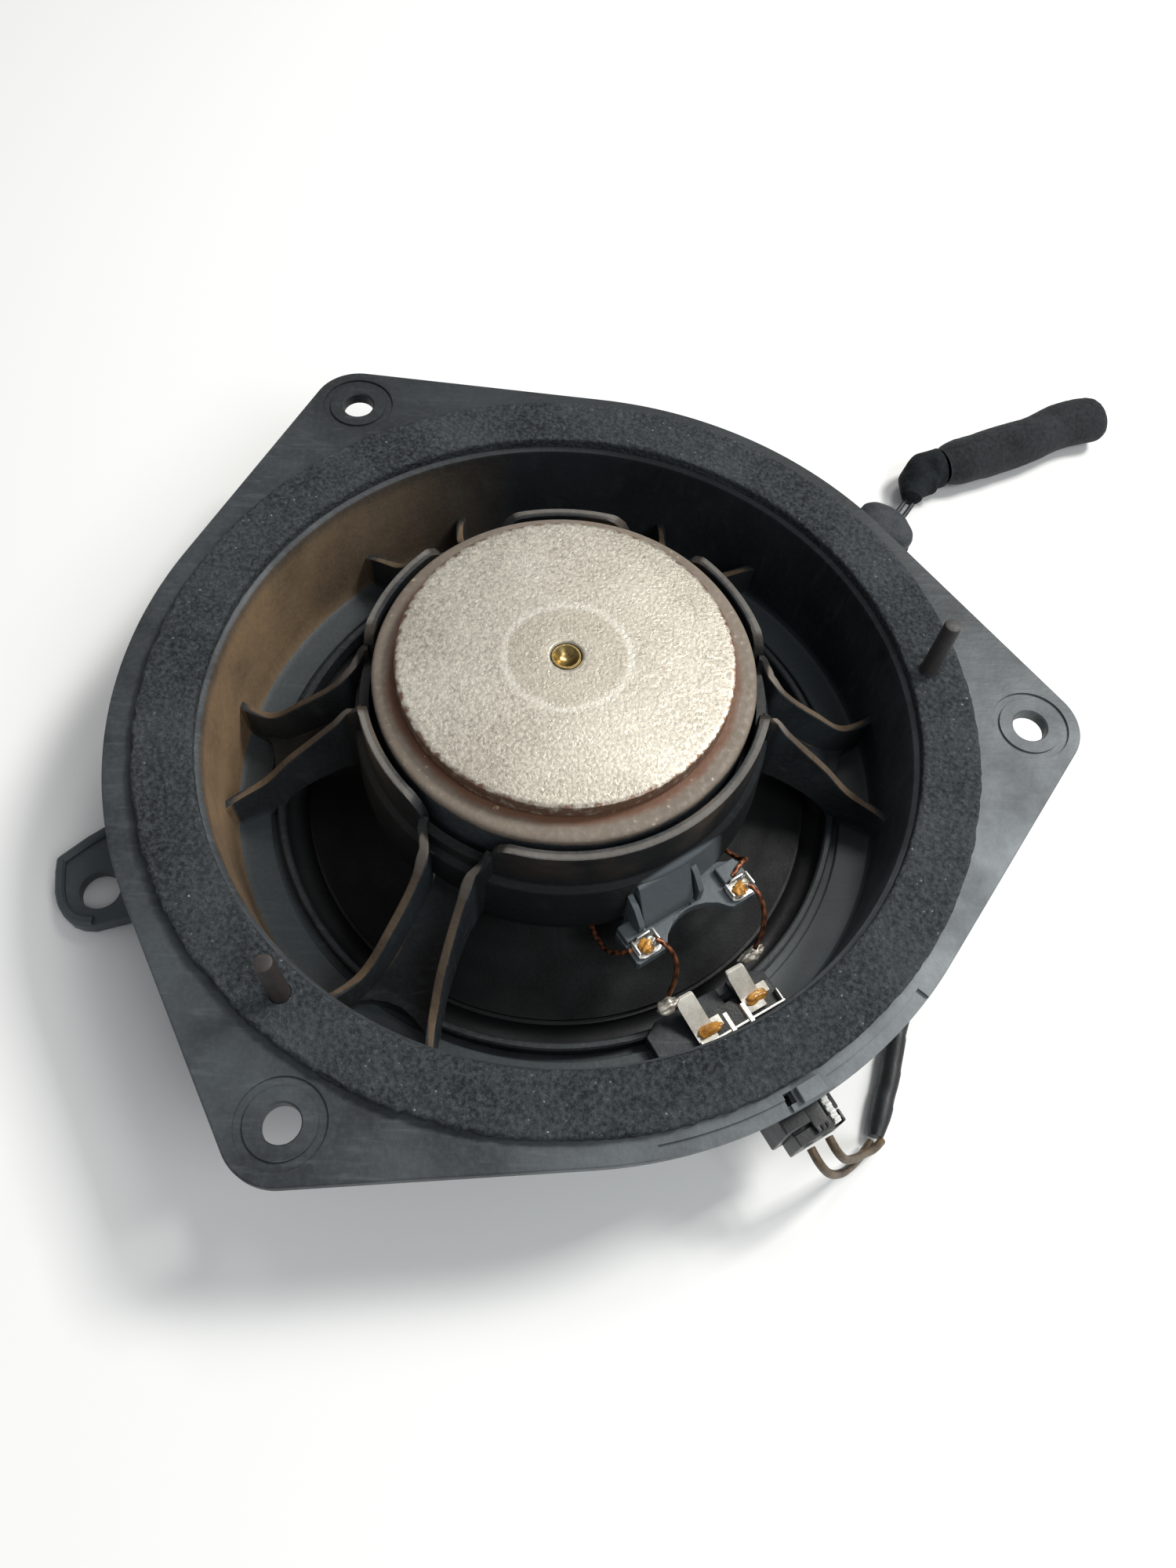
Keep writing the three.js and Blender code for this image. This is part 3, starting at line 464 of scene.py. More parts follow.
# PVC, extruded: tan wire sheath darkened by handling.
WIRE_SHEATH = grained("pvc_sheath_extruded", "#33281A", "#665235", 5, 0.7, 0.5, 0.02)
# PVC tape, wound: near black, satin, with grey scuffs.
LOOM_TAPE = grained("pvc_tape_wound", "#0D0F10", "#24282B", 7, 0.7, 0.5, 0.04)
# Cotton fleece tape, wrapped: near black and quite dull.
NECK_TAPE = grained("cotton_fleece_tape_wrapped", "#0E1012", "#262A2D", 7, 0.8, 0.9, 0.2, shine=0.15)
# PBT, moulded: black connector plastic with a satin skin.
PLUG_PBT = grained("pbt_connector_moulded", "#090A0B", "#1B1E20", 6, 0.6, 0.36, 0.02)
# Nylon, moulded in its own colour: milky white, a little yellowed.
LOCK_NYLON = grained("nylon_natural_moulded", "#B9BCB6", "#EDEEE9", 3, 0.5, 0.4, 0.02)
# EPDM rubber, moulded: dull black grommet with dust in its pores.
GROMMET_EPDM = grained("epdm_rubber_moulded", "#1C1F22", "#3B4044", 8, 0.8, 0.7, 0.05)
# Polyethylene foam, skived: a dark tube with a dimpled, slightly fuzzy skin.
SLEEVE_FOAM = grained("foam_polyethylene_skived", "#0D0F11", "#24282C", 10, 1.1, 0.92, 0.3,
                      grain_share=0.5)


# ---------------------------------------------------------------- shaping

def turned(profile, steps=128, closed=True):
    """A piece turned round the speaker's axis from its (radius, z) profile."""
    bm = bmesh.new()
    points = [bm.verts.new((r, 0, z)) for r, z in profile]
    lines = [bm.edges.new(pair) for pair in zip(points, points[1:])]
    if closed:
        lines.append(bm.edges.new((points[-1], points[0])))
    bmesh.ops.spin(bm, geom=points + lines, cent=(0, 0, 0), axis=Z_AXIS, angle=2 * math.pi,
                   steps=steps, use_merge=True)
    bmesh.ops.remove_doubles(bm, verts=bm.verts, dist=1e-4)
    bmesh.ops.recalc_face_normals(bm, faces=bm.faces)
    return bm


def cut_out(outline, low, high):
    """A flat piece cut to an outline in plan, from low to high."""
    bm = bmesh.new()
    face = bm.faces.new([bm.verts.new((x, y, low)) for x, y in outline])
    grown = bmesh.ops.extrude_face_region(bm, geom=[face])["geom"]
    bmesh.ops.translate(bm, verts=[v for v in grown if isinstance(v, bmesh.types.BMVert)],
                        vec=(0, 0, high - low))
    bmesh.ops.recalc_face_normals(bm, faces=bm.faces)
    return bm


def side_cut(outline, half_width):
    """A piece cut to an outline in the (x, z) plane, half_width to each side of it."""
    bm = cut_out(outline, -half_width, half_width)
    bmesh.ops.rotate(bm, verts=bm.verts, cent=(0, 0, 0), matrix=Matrix.Rotation(math.pi / 2, 3, "X"))
    return bm


def drawn_across(outline, near, far):
    """A prism along X of an outline in Y and Z."""
    bm = cut_out(outline, near, far)
    for vert in bm.verts:
        vert.co = Vector((vert.co.z, vert.co.x, vert.co.y))
    bmesh.ops.recalc_face_normals(bm, faces=bm.faces)
    return bm


def bar(x0, x1, y0, y1, z0, z1):
    """A square-edged bar."""
    bm = bmesh.new()
    size = Matrix.Diagonal((x1 - x0, y1 - y0, z1 - z0, 1))
    centre = Matrix.Translation(((x0 + x1) / 2, (y0 + y1) / 2, (z0 + z1) / 2))
    bmesh.ops.create_cube(bm, size=1, matrix=centre @ size)
    return bm


def peg(radius, low, high, x=0.0, y=0.0, sides=32):
    """An upright round peg, also used to drill."""
    bm = bmesh.new()
    centre = Matrix.Translation((x, y, (low + high) / 2))
    bmesh.ops.create_cone(bm, cap_ends=True, segments=sides, radius1=radius, radius2=radius,
                          depth=high - low, matrix=centre)
    return bm


def arc_strip(inner, outer, start, end, low, high):
    """Part of a ring between two angles in degrees."""
    bm = bmesh.new()
    corners = [(inner, 0, low), (outer, 0, low), (outer, 0, high), (inner, 0, high)]
    face = bm.faces.new([bm.verts.new(c) for c in corners])
    swung(bm, start)
    bmesh.ops.spin(bm, geom=[face], cent=(0, 0, 0), axis=Z_AXIS, angle=math.radians(end - start),
                   steps=24)
    bmesh.ops.recalc_face_normals(bm, faces=bm.faces)
    return bm


def soften(bm, width, angle=35, segments=2):
    """Rounds every edge that turns by more than an angle."""
    limit = math.radians(angle)
    sharp = [e for e in bm.edges if len(e.link_faces) == 2 and e.calc_face_angle(0) > limit]
    bmesh.ops.bevel(bm, geom=sharp, offset=width, offset_type="OFFSET", affect="EDGES",
                    segments=segments, profile=0.5, material=-1, clamp_overlap=True)
    return bm


def swung(bm, degrees):
    """Turns a piece about the speaker's axis."""
    bmesh.ops.rotate(bm, verts=bm.verts, cent=(0, 0, 0),
                     matrix=Matrix.Rotation(math.radians(degrees), 3, "Z"))
    return bm


def moved(bm, x, y, z):
    """Moves a piece."""
    bmesh.ops.translate(bm, verts=bm.verts, vec=(x, y, z))
    return bm


def eased(points, x):
    """The height at x of a line through points that never overshoots them."""
    spans = [(b[1] - a[1]) / (b[0] - a[0]) for a, b in zip(points, points[1:])]
    slopes = [spans[0]]
    for left, right in zip(spans, spans[1:]):
        slopes.append(0.0 if left * right <= 0 else 2 * left * right / (left + right))
    slopes.append(spans[-1])
    x = min(max(x, points[0][0]), points[-1][0])
    for i, (a, b) in enumerate(zip(points, points[1:])):
        if x <= b[0]:
            step = b[0] - a[0]
            t = (x - a[0]) / step
            return ((2 * t ** 3 - 3 * t * t + 1) * a[1] + (t ** 3 - 2 * t * t + t) * step * slopes[i]
                    + (3 * t * t - 2 * t ** 3) * b[1] + (t ** 3 - t * t) * step * slopes[i + 1])
    return points[-1][1]


def drawn_out(bm, face):
    """Extrudes the end face of a bar, and leaves no wall inside it. Returns the new end face."""
    closed = any(len(edge.link_faces) > 1 for edge in face.edges)
    grown = bmesh.ops.extrude_face_region(bm, geom=[face])["geom"]
    if closed:
        bmesh.ops.delete(bm, geom=[face], context="FACES_ONLY")
    return next(g for g in grown if isinstance(g, bmesh.types.BMFace))


def lofted(sections):
    """A bar drawn out through sections with the same number of corners, closed at both ends."""
    bm = bmesh.new()
    face = bm.faces.new([bm.verts.new(p) for p in sections[0]])
    for before, after in zip(sections, sections[1:]):
        face = drawn_out(bm, face)
        for corner in face.verts:
            nearest = min(range(len(before)), key=lambda i: (Vector(before[i]) - corner.co).length)
            corner.co = after[nearest]
    bmesh.ops.recalc_face_normals(bm, faces=bm.faces)
    return bm


def smooth_path(route, step):
    """Points along a smooth line through a route, about step apart."""
    points = [Vector(p) for p in route]
    ends = [points[0] * 2 - points[1], *points, points[-1] * 2 - points[-2]]
    path = [points[0].copy()]
    for i in range(len(points) - 1):
        a, b, c, d = ends[i:i + 4]
        t1 = (b - a).length ** 0.5
        t2 = t1 + (c - b).length ** 0.5
        t3 = t2 + (d - c).length ** 0.5
        pieces = max(2, round((c - b).length / step))
        for k in range(1, pieces + 1):
            t = t1 + (t2 - t1) * k / pieces
            ab = a.lerp(b, t / t1)
            bc = b.lerp(c, (t - t1) / (t2 - t1))
            cd = c.lerp(d, (t - t2) / (t3 - t2))
            abc = ab.lerp(bc, t / t2)
            bcd = bc.lerp(cd, (t - t1) / (t3 - t1))
            path.append(abc.lerp(bcd, (t - t1) / (t2 - t1)))
    return path


def pulled_tube(path, radius, sides=12, shape=None):
    """A tube along a path. shape(i, distance, angle) gives the radius at a point of it."""
    bm = bmesh.new()
    side = path[1] - path[0]
    normal = side.orthogonal().normalized()
    distance = 0.0
    ring = None
    for i, point in enumerate(path):
        ahead = path[min(i + 1, len(path) - 1)] - path[max(i - 1, 0)]
        ahead.normalize()
        normal = (normal - ahead * normal.dot(ahead)).normalized()
        across = ahead.cross(normal)
        if i:
            distance += (point - path[i - 1]).length
        places = []
        for k in range(sides):
            angle = 2 * math.pi * k / sides
            size = shape(i, distance, angle) if shape else radius
            places.append(point + normal * (size * math.cos(angle)) + across * (size * math.sin(angle)))
        if ring is None:
            ring = [bm.verts.new(p) for p in places]
            edges = [bm.edges.new((ring[k], ring[(k + 1) % sides])) for k in range(sides)]
            bm.faces.new(ring)
        else:
            grown = bmesh.ops.extrude_edge_only(bm, edges=edges)["geom"]
            fresh = [g for g in grown if isinstance(g, bmesh.types.BMVert)]
            order = {v: k for k, v in enumerate(ring)}
            upper = [None] * sides
            for vert in fresh:
                for edge in vert.link_edges:
                    other = edge.other_vert(vert)
                    if other in order:
                        upper[order[other]] = vert
            for vert, place in zip(upper, places):
                vert.co = place
            ring = upper
            edges = [g for g in grown if isinstance(g, bmesh.types.BMEdge)
                     and all(v in set(fresh) for v in g.verts)]
    bm.faces.new(ring)
    bmesh.ops.recalc_face_normals(bm, faces=bm.faces)
    return bm


def bench_object(name, bm):
    """A bare object from a mesh in millimetres, used as it is or as a tool."""
    mesh = bpy.data.meshes.new(name)
    bm.to_mesh(mesh)
    bm.free()
    made = bpy.data.objects.new(name, mesh)
    scene.collection.objects.link(made)
    return made


def fused(first, joined=(), cuts=(), keep=None):
    """One solid: first, with joined added, then cuts taken away, as a new bmesh."""
    base = bench_object("blank_part", first)
    tools = []
    for operation, parts in (("UNION", joined), ("DIFFERENCE", cuts), ("INTERSECT", [keep] if keep else [])):
        for part in parts:
            tool = bench_object("tool_part", part)
            tools.append(tool)
            step = base.modifiers.new("join", "BOOLEAN")
            step.operation = operation
            step.solver = "MANIFOLD"
            step.object = tool
    shape = base.evaluated_get(bpy.context.evaluated_depsgraph_get())
    result = bmesh.new()
    result.from_mesh(shape.to_mesh())
    shape.to_mesh_clear()
    for tool in [base, *tools]:
        mesh = tool.data
        bpy.data.objects.remove(tool)
        bpy.data.meshes.remove(mesh)
    bmesh.ops.remove_doubles(result, verts=result.verts, dist=1e-3)
    return result


def piece(name, bm, material, body, nodes, sharp=35, ragged=None):
    """Finishes a piece: scaled to metres, smooth but for its sharp edges, riding on a body."""
    if ragged:
        for vert in bm.verts:
            ragged(vert)
    bmesh.ops.scale(bm, verts=bm.verts, vec=(MM, MM, MM))
    limit = math.radians(sharp)
    for face in bm.faces:
        face.smooth = True
    for edge in bm.edges:
        edge.smooth = len(edge.link_faces) == 2 and edge.calc_face_angle(0) < limit
    made = bench_object(name, bm)
    made.data.materials.append(material)
    even = made.modifiers.new("even_shading", "WEIGHTED_NORMAL")
    even.keep_sharp = True
    if body:
        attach(made, body)
    if nodes:
        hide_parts(*nodes)
    return made


# ---------------------------------------------------------------- harness, which comes first

CONNECTOR_ANGLE = -60
CONNECTOR_Z = 27.0
WIRE_RADIUS = 0.9
LOOM_RADIUS = 2.4
TAPE_PITCH = 8

WIRE_ROUTES = (
    ((49.7, -90.5, 27.0), (50.9, -92.6, 26.4), (53.8, -94.2, 22.0), (58.2, -93.2, 15.0),
     (62.6, -90.4, 8.6), (66.0, -87.5, 4.4), (68.8, -84.4, 2.8)),
    ((53.5, -88.3, 27.0), (54.7, -90.4, 26.4), (57.3, -91.6, 22.4), (61.0, -90.4, 15.8),
     (65.2, -88.2, 9.6), (68.9, -86.2, 5.2), (71.1, -84.3, 3.2)),
)
LOOM_ROUTE = (
    (70.1, -83.3, 2.6), (72.4, -76.8, 2.6), (74.9, -70.0, 2.6), (77.2, -62.0, 2.6), (80.2, -53.0, 2.6),
    (83.8, -42.0, 2.6), (87.2, -29.0, 2.6), (89.6, -15.0, 2.6), (91.0, 0.0, 2.6), (91.7, 15.0, 2.6),
    (91.8, 30.0, 2.6), (90.8, 44.0, 2.6), (88.8, 57.0, 2.6), (86.8, 67.0, 2.6), (85.6, 74.0, 2.6),
    (86.1, 79.4, 2.7), (88.3, 83.0, 2.8),
)
STRAND_ROUTES = (
    ((97.2, 92.9, 3.6), (98.8, 95.0, 3.9), (100.6, 97.6, 4.4)),
    ((99.0, 91.5, 3.6), (100.6, 93.6, 3.9), (102.4, 96.2, 4.4)),
)
NECK_ROUTE = ((101.8, 97.4, 5.6), (103.4, 101.6, 5.8), (105.6, 105.1, 6.3), (108.3, 107.1, 6.8),
              (111.1, 108.1, 6.95))
GROMMET_CENTRE = (93.2, 87.2)
GROMMET_TURN = -49.5
SLEEVE_START = (111.6, 108.3)
SLEEVE_TURN = 22.2
SLEEVE_LENGTH = 57
SLEEVE_RADIUS = 7


wire_pieces = []
for side, route in enumerate(WIRE_ROUTES, 1):
    path = smooth_path(route, 1.2)
    wire = piece(f"wire_sheath_{side}", pulled_tube(path, WIRE_RADIUS, 14), WIRE_SHEATH, "basket",
                 [f"wire_{side}"], sharp=60)
    wire_pieces.append(wire)


def wrapped(i, distance, angle):
    """The loom's skin: tape wound round two wires, each turn lapping the last."""
    turn = (distance / TAPE_PITCH + angle / (2 * math.pi)) % 1
    lap = 0.20 * turn
    oval = 0.12 * math.cos(2 * angle)
    slack = 0.10 * noise.noise(Vector((distance * 0.3, math.cos(angle), math.sin(angle))))
    return LOOM_RADIUS - 0.30 + lap + oval + slack


def taped_loom():
    """The loom, taped from the connector round to the grommet, and its path."""
    path = smooth_path(LOOM_ROUTE, 0.9)
    total = len(path) - 1

    def skin(i, distance, angle):
        taper = min(1.0, 0.72 + 0.28 * min(i, total - i) / 5)
        return wrapped(i, distance, angle) * taper

    loom = piece("harness_loom_tape", pulled_tube(path, LOOM_RADIUS, 28, skin), LOOM_TAPE, "basket",
                 ["harness_loom"], sharp=60)
    return loom, path


def grommet():
    """A rubber grommet: an oval plug with a groove round it and a domed top."""
    outline = [(9 * math.cos(a), 5.6 * math.sin(a)) for a in
               (2 * math.pi * k / 64 for k in range(64))]
    bm = bmesh.new()
    top = bm.faces.new([bm.verts.new((x, y, 0.1)) for x, y in outline])
    now = 1.0
    for height, scale in ((1.0, 1.0), (1.4, 1.0), (1.9, 0.9), (3.2, 0.9), (3.7, 1.0), (5.2, 1.0), (6.4, 0.96),
                          (7.3, 0.86), (7.9, 0.66), (8.2, 0.35)):
        top = drawn_out(bm, top)
        for vert in top.verts:
            vert.co = (vert.co.x * scale / now, vert.co.y * scale / now, height)
        now = scale
    bmesh.ops.recalc_face_normals(bm, faces=bm.faces)
    moved(swung(bm, GROMMET_TURN), *GROMMET_CENTRE, 0)

    def lumpy(vert):
        vert.co += vert.normal * 0.25 * noise.noise(vert.co * 0.25) if vert.co.z > 0.5 else Vector()

    return piece("harness_grommet_rubber", bm, GROMMET_EPDM, "basket", ["harness_grommet"],
                 sharp=60, ragged=lumpy)


def laid_sleeve(bm):
    """Lays an upright piece along the sleeve's direction on the surface."""
    bmesh.ops.rotate(bm, verts=bm.verts, cent=(0, 0, 0), matrix=Matrix.Rotation(math.pi / 2, 3, "Y"))
    return moved(swung(bm, SLEEVE_TURN), *SLEEVE_START, SLEEVE_RADIUS + 0.05)


def foam_sleeve():
    """The foam tube round the in-line connector, open at the neck and closed at the far end."""
    r = SLEEVE_RADIUS
    end = SLEEVE_LENGTH
    outer = [(r - 0.1 - 1.5 * max(0.0, 1 - k / 5) ** 2, 0.9 + 1.45 * k) for k in range(37)]
    profile = [(5, 0.4), (5.2, 0.05), *outer, (r - 0.4, end - 2.6), (r - 1.2, end - 1.4),
               (r - 2.4, end - 0.5), (r - 4.2, end), (0, end), (0, end - 4), (5, end - 4)]
    bm = turned(profile[::-1], 40, closed=False)
    open_edges = [e for e in bm.edges if e.is_boundary]
    bmesh.ops.bridge_loops(bm, edges=open_edges)
    bmesh.ops.recalc_face_normals(bm, faces=bm.faces)
    for vert in bm.verts:  # The tube sags sideways near its far end.
        vert.co.y += 2.2 * math.exp(-((vert.co.z - 45) / 10) ** 2)
    laid_sleeve(bm)

    def dented(vert):
        if (Vector((vert.co.x - SLEEVE_START[0], vert.co.y - SLEEVE_START[1])).length > 1):
            vert.co += vert.normal * (0.35 * noise.noise(vert.co * 0.12) - 0.25)
            vert.co += vert.normal * 0.12 * noise.noise(vert.co * 0.9)
            vert.co.z = max(vert.co.z, 0.15)

    sleeve = piece("foam_sleeve_skin", bm, SLEEVE_FOAM, "basket", ["foam_sleeve"],
                   sharp=70, ragged=dented)
    return sleeve


def sleeve_neck():
    """Tape gathered round the wires where they enter the sleeve."""
    path = smooth_path(NECK_ROUTE, 0.6)
    total = len(path) - 1

    def gathered(i, distance, angle):
        ends = 0.5 + 0.5 * min(1.0, 2.2 * i / total)
        fold = 0.30 * math.sin(3 * angle + distance * 0.7) + 0.45 * noise.noise(
            Vector((distance * 0.5, math.cos(angle) * 1.5, math.sin(angle) * 1.5)))
        return (5.7 + fold * min(1.0, 4 * (total - i) / total)) * ends

    return piece("sleeve_neck_tape", pulled_tube(path, 5.2, 32, gathered), NECK_TAPE, "basket",
                 ["sleeve_neck"], sharp=60)


for side, route in enumerate(STRAND_ROUTES, 1):
    piece(f"strand_{side}_sheath", pulled_tube(smooth_path(route, 0.6), 0.7, 12),
                               LOOM_TAPE, "basket", [f"strand_{side}"], sharp=60)
loom, loom_path = taped_loom()
grommet()
sleeve_neck()
foam_sleeve()


# ---------------------------------------------------------------- basket moulding

FLANGE_TOP = 40.0
RING_RADII = (97.0, 98.6, 97.0)  # of the rim after each ear
EAR_RADIUS = 11.5
EARS = ((0, 105.5), (120, 105.5), (240, 102.8))  # angle, and the hole's distance from the axis
LOCATING_PINS = ((83.3, 12.7), (-53.8, -65.1))
SPOKE_ANGLES = (0, 60, 120, 180, 240)
PLATFORM_ANGLE = -57
LUG_HOLE = (-106.2, -28.4)


def around(x, y, radius, start, end, steps):
    """Points on an arc, in degrees."""
    return [(x + radius * math.cos(math.radians(start + (end - start) * k / steps)),
             y + radius * math.sin(math.radians(start + (end - start) * k / steps)))
            for k in range(steps + 1)]


def ear_centre(angle, distance):
    """Where an ear's hole is, in plan."""
    return (distance * math.cos(math.radians(angle)), distance * math.sin(math.radians(angle)))


def flange():
    """The three-eared flange, cut out over the mouth of the well."""
    def tangent(rim, ear):
        return math.degrees(math.acos((RING_RADII[rim] - EAR_RADIUS) / EARS[ear][1]))

    outline = []
    for i, (angle, distance) in enumerate(EARS):
        x, y = ear_centre(angle, distance)
        before, following = (i + 2) % 3, (i + 1) % 3
        start = angle + tangent(i, i)
        outline += around(x, y, EAR_RADIUS, angle - tangent(before, i), start, 16)
        outline += around(0, 0, RING_RADII[i], start, angle + 120 - tangent(i, following), 40)
    plain = [p for i, p in enumerate(outline) if math.dist(p, outline[i - 1]) > 0.05]
    return soften(cut_out(plain, FLANGE_TOP - 3, FLANGE_TOP), 0.55, 50, 3)


def well():
    """The well's wall, its floor with the ridge and groove, and the front collar."""
    profile = [
        (79.2, 0), (79.2, 7), (80.6, 36.5), (80.6, 40), (79.6, 40), (79.0, 39.8), (78.4, 39.3), (78.2, 38.5),
        (77.1, 14), (76.95, 11.2), (76.3, 9.5), (74.8, 9), (69.3, 9), (69.0, 8.7), (69.0, 7.5), (67.2, 7.5),
        (67.2, 10.9), (66.8, 11.3), (65.8, 11.3), (65.4, 10.9), (65.4, 7), (76.4, 7), (76.4, 0),
    ]
    return turned(profile, 192)


def drum():
    """The magnet's shroud above and the spider's ledge below, notched where the spokes meet it."""
    profile = [
        (43.2, 58), (43.4, 57.8), (43.4, 46.4), (43.7, 45.7), (44.7, 44.7), (45, 44), (45.6, 31),
        (45.2, 27.6), (44.6, 26.5), (42.8, 26.5), (42.8, 33.5), (36, 33.5), (34.5, 35), (34.5, 38.8),
        (41.4, 38.8), (41.4, 57.8), (41.6, 58),
    ]
    curl = [(7.5, 49.5), (7.5, 52.5), (7.9, 54.5), (9.0, 56.4), (10.8, 57.6), (13.5, 58.2), (13.5, 62)]
    gap = [*curl, *[(-y, z) for y, z in reversed(curl)]]
    notches = [swung(drawn_across(gap, 38, 47), a) for a in SPOKE_ANGLES]
    return fused(turned(profile, 144), cuts=notches)


# A flank's offset from the spoke's middle, its top and its foot, by distance from the axis.
SPOKE_LINE = ((41.9, 7.6), (43.2, 7.4), (44.6, 6.4), (46, 5.5), (48, 5.3), (60, 6.8), (68, 9),
              (73.5, 11.6), (78, 15))
SPOKE_TOP = ((41.8, 54.0), (42.8, 53.4), (43.8, 51.8), (45, 49.6), (46.5, 47.4), (49.5, 42.8),
             (60, 31), (69, 21.6), (78.4, 19))
SPOKE_FOOT = ((41.8, 34), (43.4, 34), (44.8, 29), (50, 25), (63.5, 13.5), (66, 8.5), (78.4, 8.4))


def flank(mirror):
    """One thin curved flank of a spoke, thickened along its top into a rounded bead."""
    steps = 44
    sections = []
    for k in range(steps + 1):
        x = 41.9 + (78.2 - 41.9) * k / steps
        y = eased(SPOKE_LINE, x)
        top = eased(SPOKE_TOP, x)
        foot = eased(SPOKE_FOOT, x)
        half = 1.0 + 0.35 * math.exp(-((x - 47.5) / 1.6) ** 2)
        slope = (eased(SPOKE_LINE, x + 0.1) - eased(SPOKE_LINE, x - 0.1)) / 0.2
        nx = -slope / math.hypot(1, slope)
        ny = 1 / math.hypot(1, slope)
        bead = ((-half, foot), (half, foot), (half, top - 0.5), (half - 0.15, top - 0.15),
                (half - 0.5, top), (0.5 - half, top), (0.15 - half, top - 0.15), (-half, top - 0.5))
        sections.append([(x + nx * out, mirror * (y + ny * out), z) for out, z in bead])
    return lofted(sections)


def spoke(angle):
    """Two flanks that flare at the wall, and a sunk web between them."""
    web_plan = cut_out([(42, -6.2), (60, -6.8), (68, -9), (72, -10.6), (69.4, -7), (68.1, -3.4), (67.6, 0),
                        (68.1, 3.4), (69.4, 7), (72, 10.6), (68, 9), (60, 6.8), (42, 6.2)], 7.5, 60)
    web_side = side_cut([(41.8, 40), (45, 36), (50, 30), (60, 19.5), (66, 14), (73, 11), (73, 8.5),
                         (66, 8.5), (63.5, 13.4), (50, 24.8), (44.8, 28.8), (43.4, 34), (41.8, 34)], 18)
    web = fused(web_plan, keep=web_side)
    return swung(fused(web, [flank(1), flank(-1)]), angle)


def bridge():
    """The bridge on the drum that carries the two lead terminals."""
    plan = [(44, -12), (46, -16), (54, -16), (54.5, -15.5), (54.5, -8.9), (53.9, -8.1), (52, -6.6),
            (50.6, -4.4), (49.8, -2), (49.6, 0), (49.8, 2), (50.6, 4.4), (52, 6.6), (53.9, 8.1),
            (54.5, 8.9), (54.5, 15.5), (54, 16), (46, 16), (44, 12)]
    shelf = soften(cut_out(plan, 27, 30), 0.3, 50)
    back = side_cut([(43.6, 28), (48.6, 28), (48.6, 32.5), (48.1, 33.8), (44.9, 43.2), (44.4, 43.8),
                     (43.6, 44)], 6.4)
    back = moved(soften(back, 0.35), 0, -4.2, 0)
    fin_side = [(43.6, 29), (49.2, 29), (49.2, 35), (46.5, 39), (43.6, 41)]
    fins = [moved(soften(side_cut(fin_side, 0.7), 0.2), 0, y, 0) for y in (-11.8, 3.4)]
    pads = [soften(bar(45.5, 49.6, y - 2.6, y + 2.6, 29, 31.8), 0.5) for y in (-13, 12.4)]
    mark = turned([(1.7, 29.8), (2.1, 29.8), (2.1, 31), (1.7, 31)], 32)
    step = bar(48.6, 49.2, -8.5, 1.5, 29.5, 31)
    return swung(fused(shelf, [back, *fins, *pads], [moved(mark, 51.4, -2.6, 0), step]), PLATFORM_ANGLE)


def plinth():
    """The raised plinth on the floor under the solder tray, with a notch between its tabs."""
    plan = [(65.5, -15.5), (77.2, -15.5), (77.2, 15.5), (65.5, 15.5), (63.5, 12), (63.5, -12)]
    gap = bar(62, 70.4, 3.6, 6.6, 10.4, 14)
    return swung(fused(soften(cut_out(plan, 7.6, 12.5), 0.35, 40), cuts=[gap]), CONNECTOR_ANGLE)


def socket():
    """The socket that takes the plug, on the outside of the wall, with a stepped mouth."""
    z = CONNECTOR_Z
    outer = soften(bar(79.4, 99.5, -7.2, 7.2, z - 7.5, z + 7.5), 0.5)
    ribs = [soften(bar(84, 98.8, y - 0.5, y + 0.5, z + 7.2, z + 7.5), 0.1) for y in (-5.2, -3.2)]
    return [swung(part, CONNECTOR_ANGLE) for part in (outer, *ribs)]


def socket_cuts():
    """The socket's hollow, the window over the plug's latch, and the ways through for its pins."""
    z = CONNECTOR_Z
    cavity = bar(85, 104, -5.7, 5.7, z - 5.9, z + 5.9)
    window = bar(88.5, 104, -1.5, 8, z + 0.5, z + 8)
    ways = [bar(70, 86, y - 0.8, y + 0.8, z - 0.8, z + 0.8) for y in (-2.2, 2.2)]
    return [swung(part, CONNECTOR_ANGLE) for part in (cavity, window, *ways)]


LUG_OUTLINE = ((-78.2, 3), (-92, -2.5), (-107.4, -12.8), (-111, -15.6), (-116.3, -20.6),
               (-116.98, -21.6), (-116.7, -25), (-115.7, -30.2), (-114.6, -33), (-112.9, -35.3),
               (-110.9, -36.9), (-108.6, -37.7), (-105.9, -37.8), (-98, -35.4), (-72, -28.6))


def side_lug():
    """The lug by the front rim, dished towards its hole behind a raised outer edge."""
    plate = soften(cut_out(LUG_OUTLINE, 1, 5), 0.5, 30, 3)
    walk = [Vector((x, y, 0)) for x, y in LUG_OUTLINE[2:-2]]
    sections = []
    for i, point in enumerate(walk):
        ahead = (walk[min(i + 1, len(walk) - 1)] - walk[max(i - 1, 0)]).normalized()
        inward = Vector((-ahead.y, ahead.x, 0))
        near, far = point + inward * 0.25, point + inward * 2.3
        sections.append([(near.x, near.y, 4.4), (near.x, near.y, 5.9), (*(near + inward * 0.4).xy, 6.2),
                         (*(far - inward * 0.5).xy, 6.2), (far.x, far.y, 5.7), (far.x, far.y, 4.4)])
    dish = turned([(0, 4.0), (5.4, 4.0), (8.4, 5.3), (0, 5.3)], 48, closed=False)
    return plate, lofted(sections), moved(dish, *LUG_HOLE, 0)


def locating_pin(x, y):
    """A moulded pin, drafted to its tip and rounded there."""
    pin = turned([(0, 38.8), (2.5, 38.8), (2.5, 40.0), (2.2, 40.9), (2.1, 42), (1.9, 59.2), (1.7, 59.8),
                  (1.2, 60), (0, 60)], 32, closed=False)
    return moved(pin, x, y, 0)


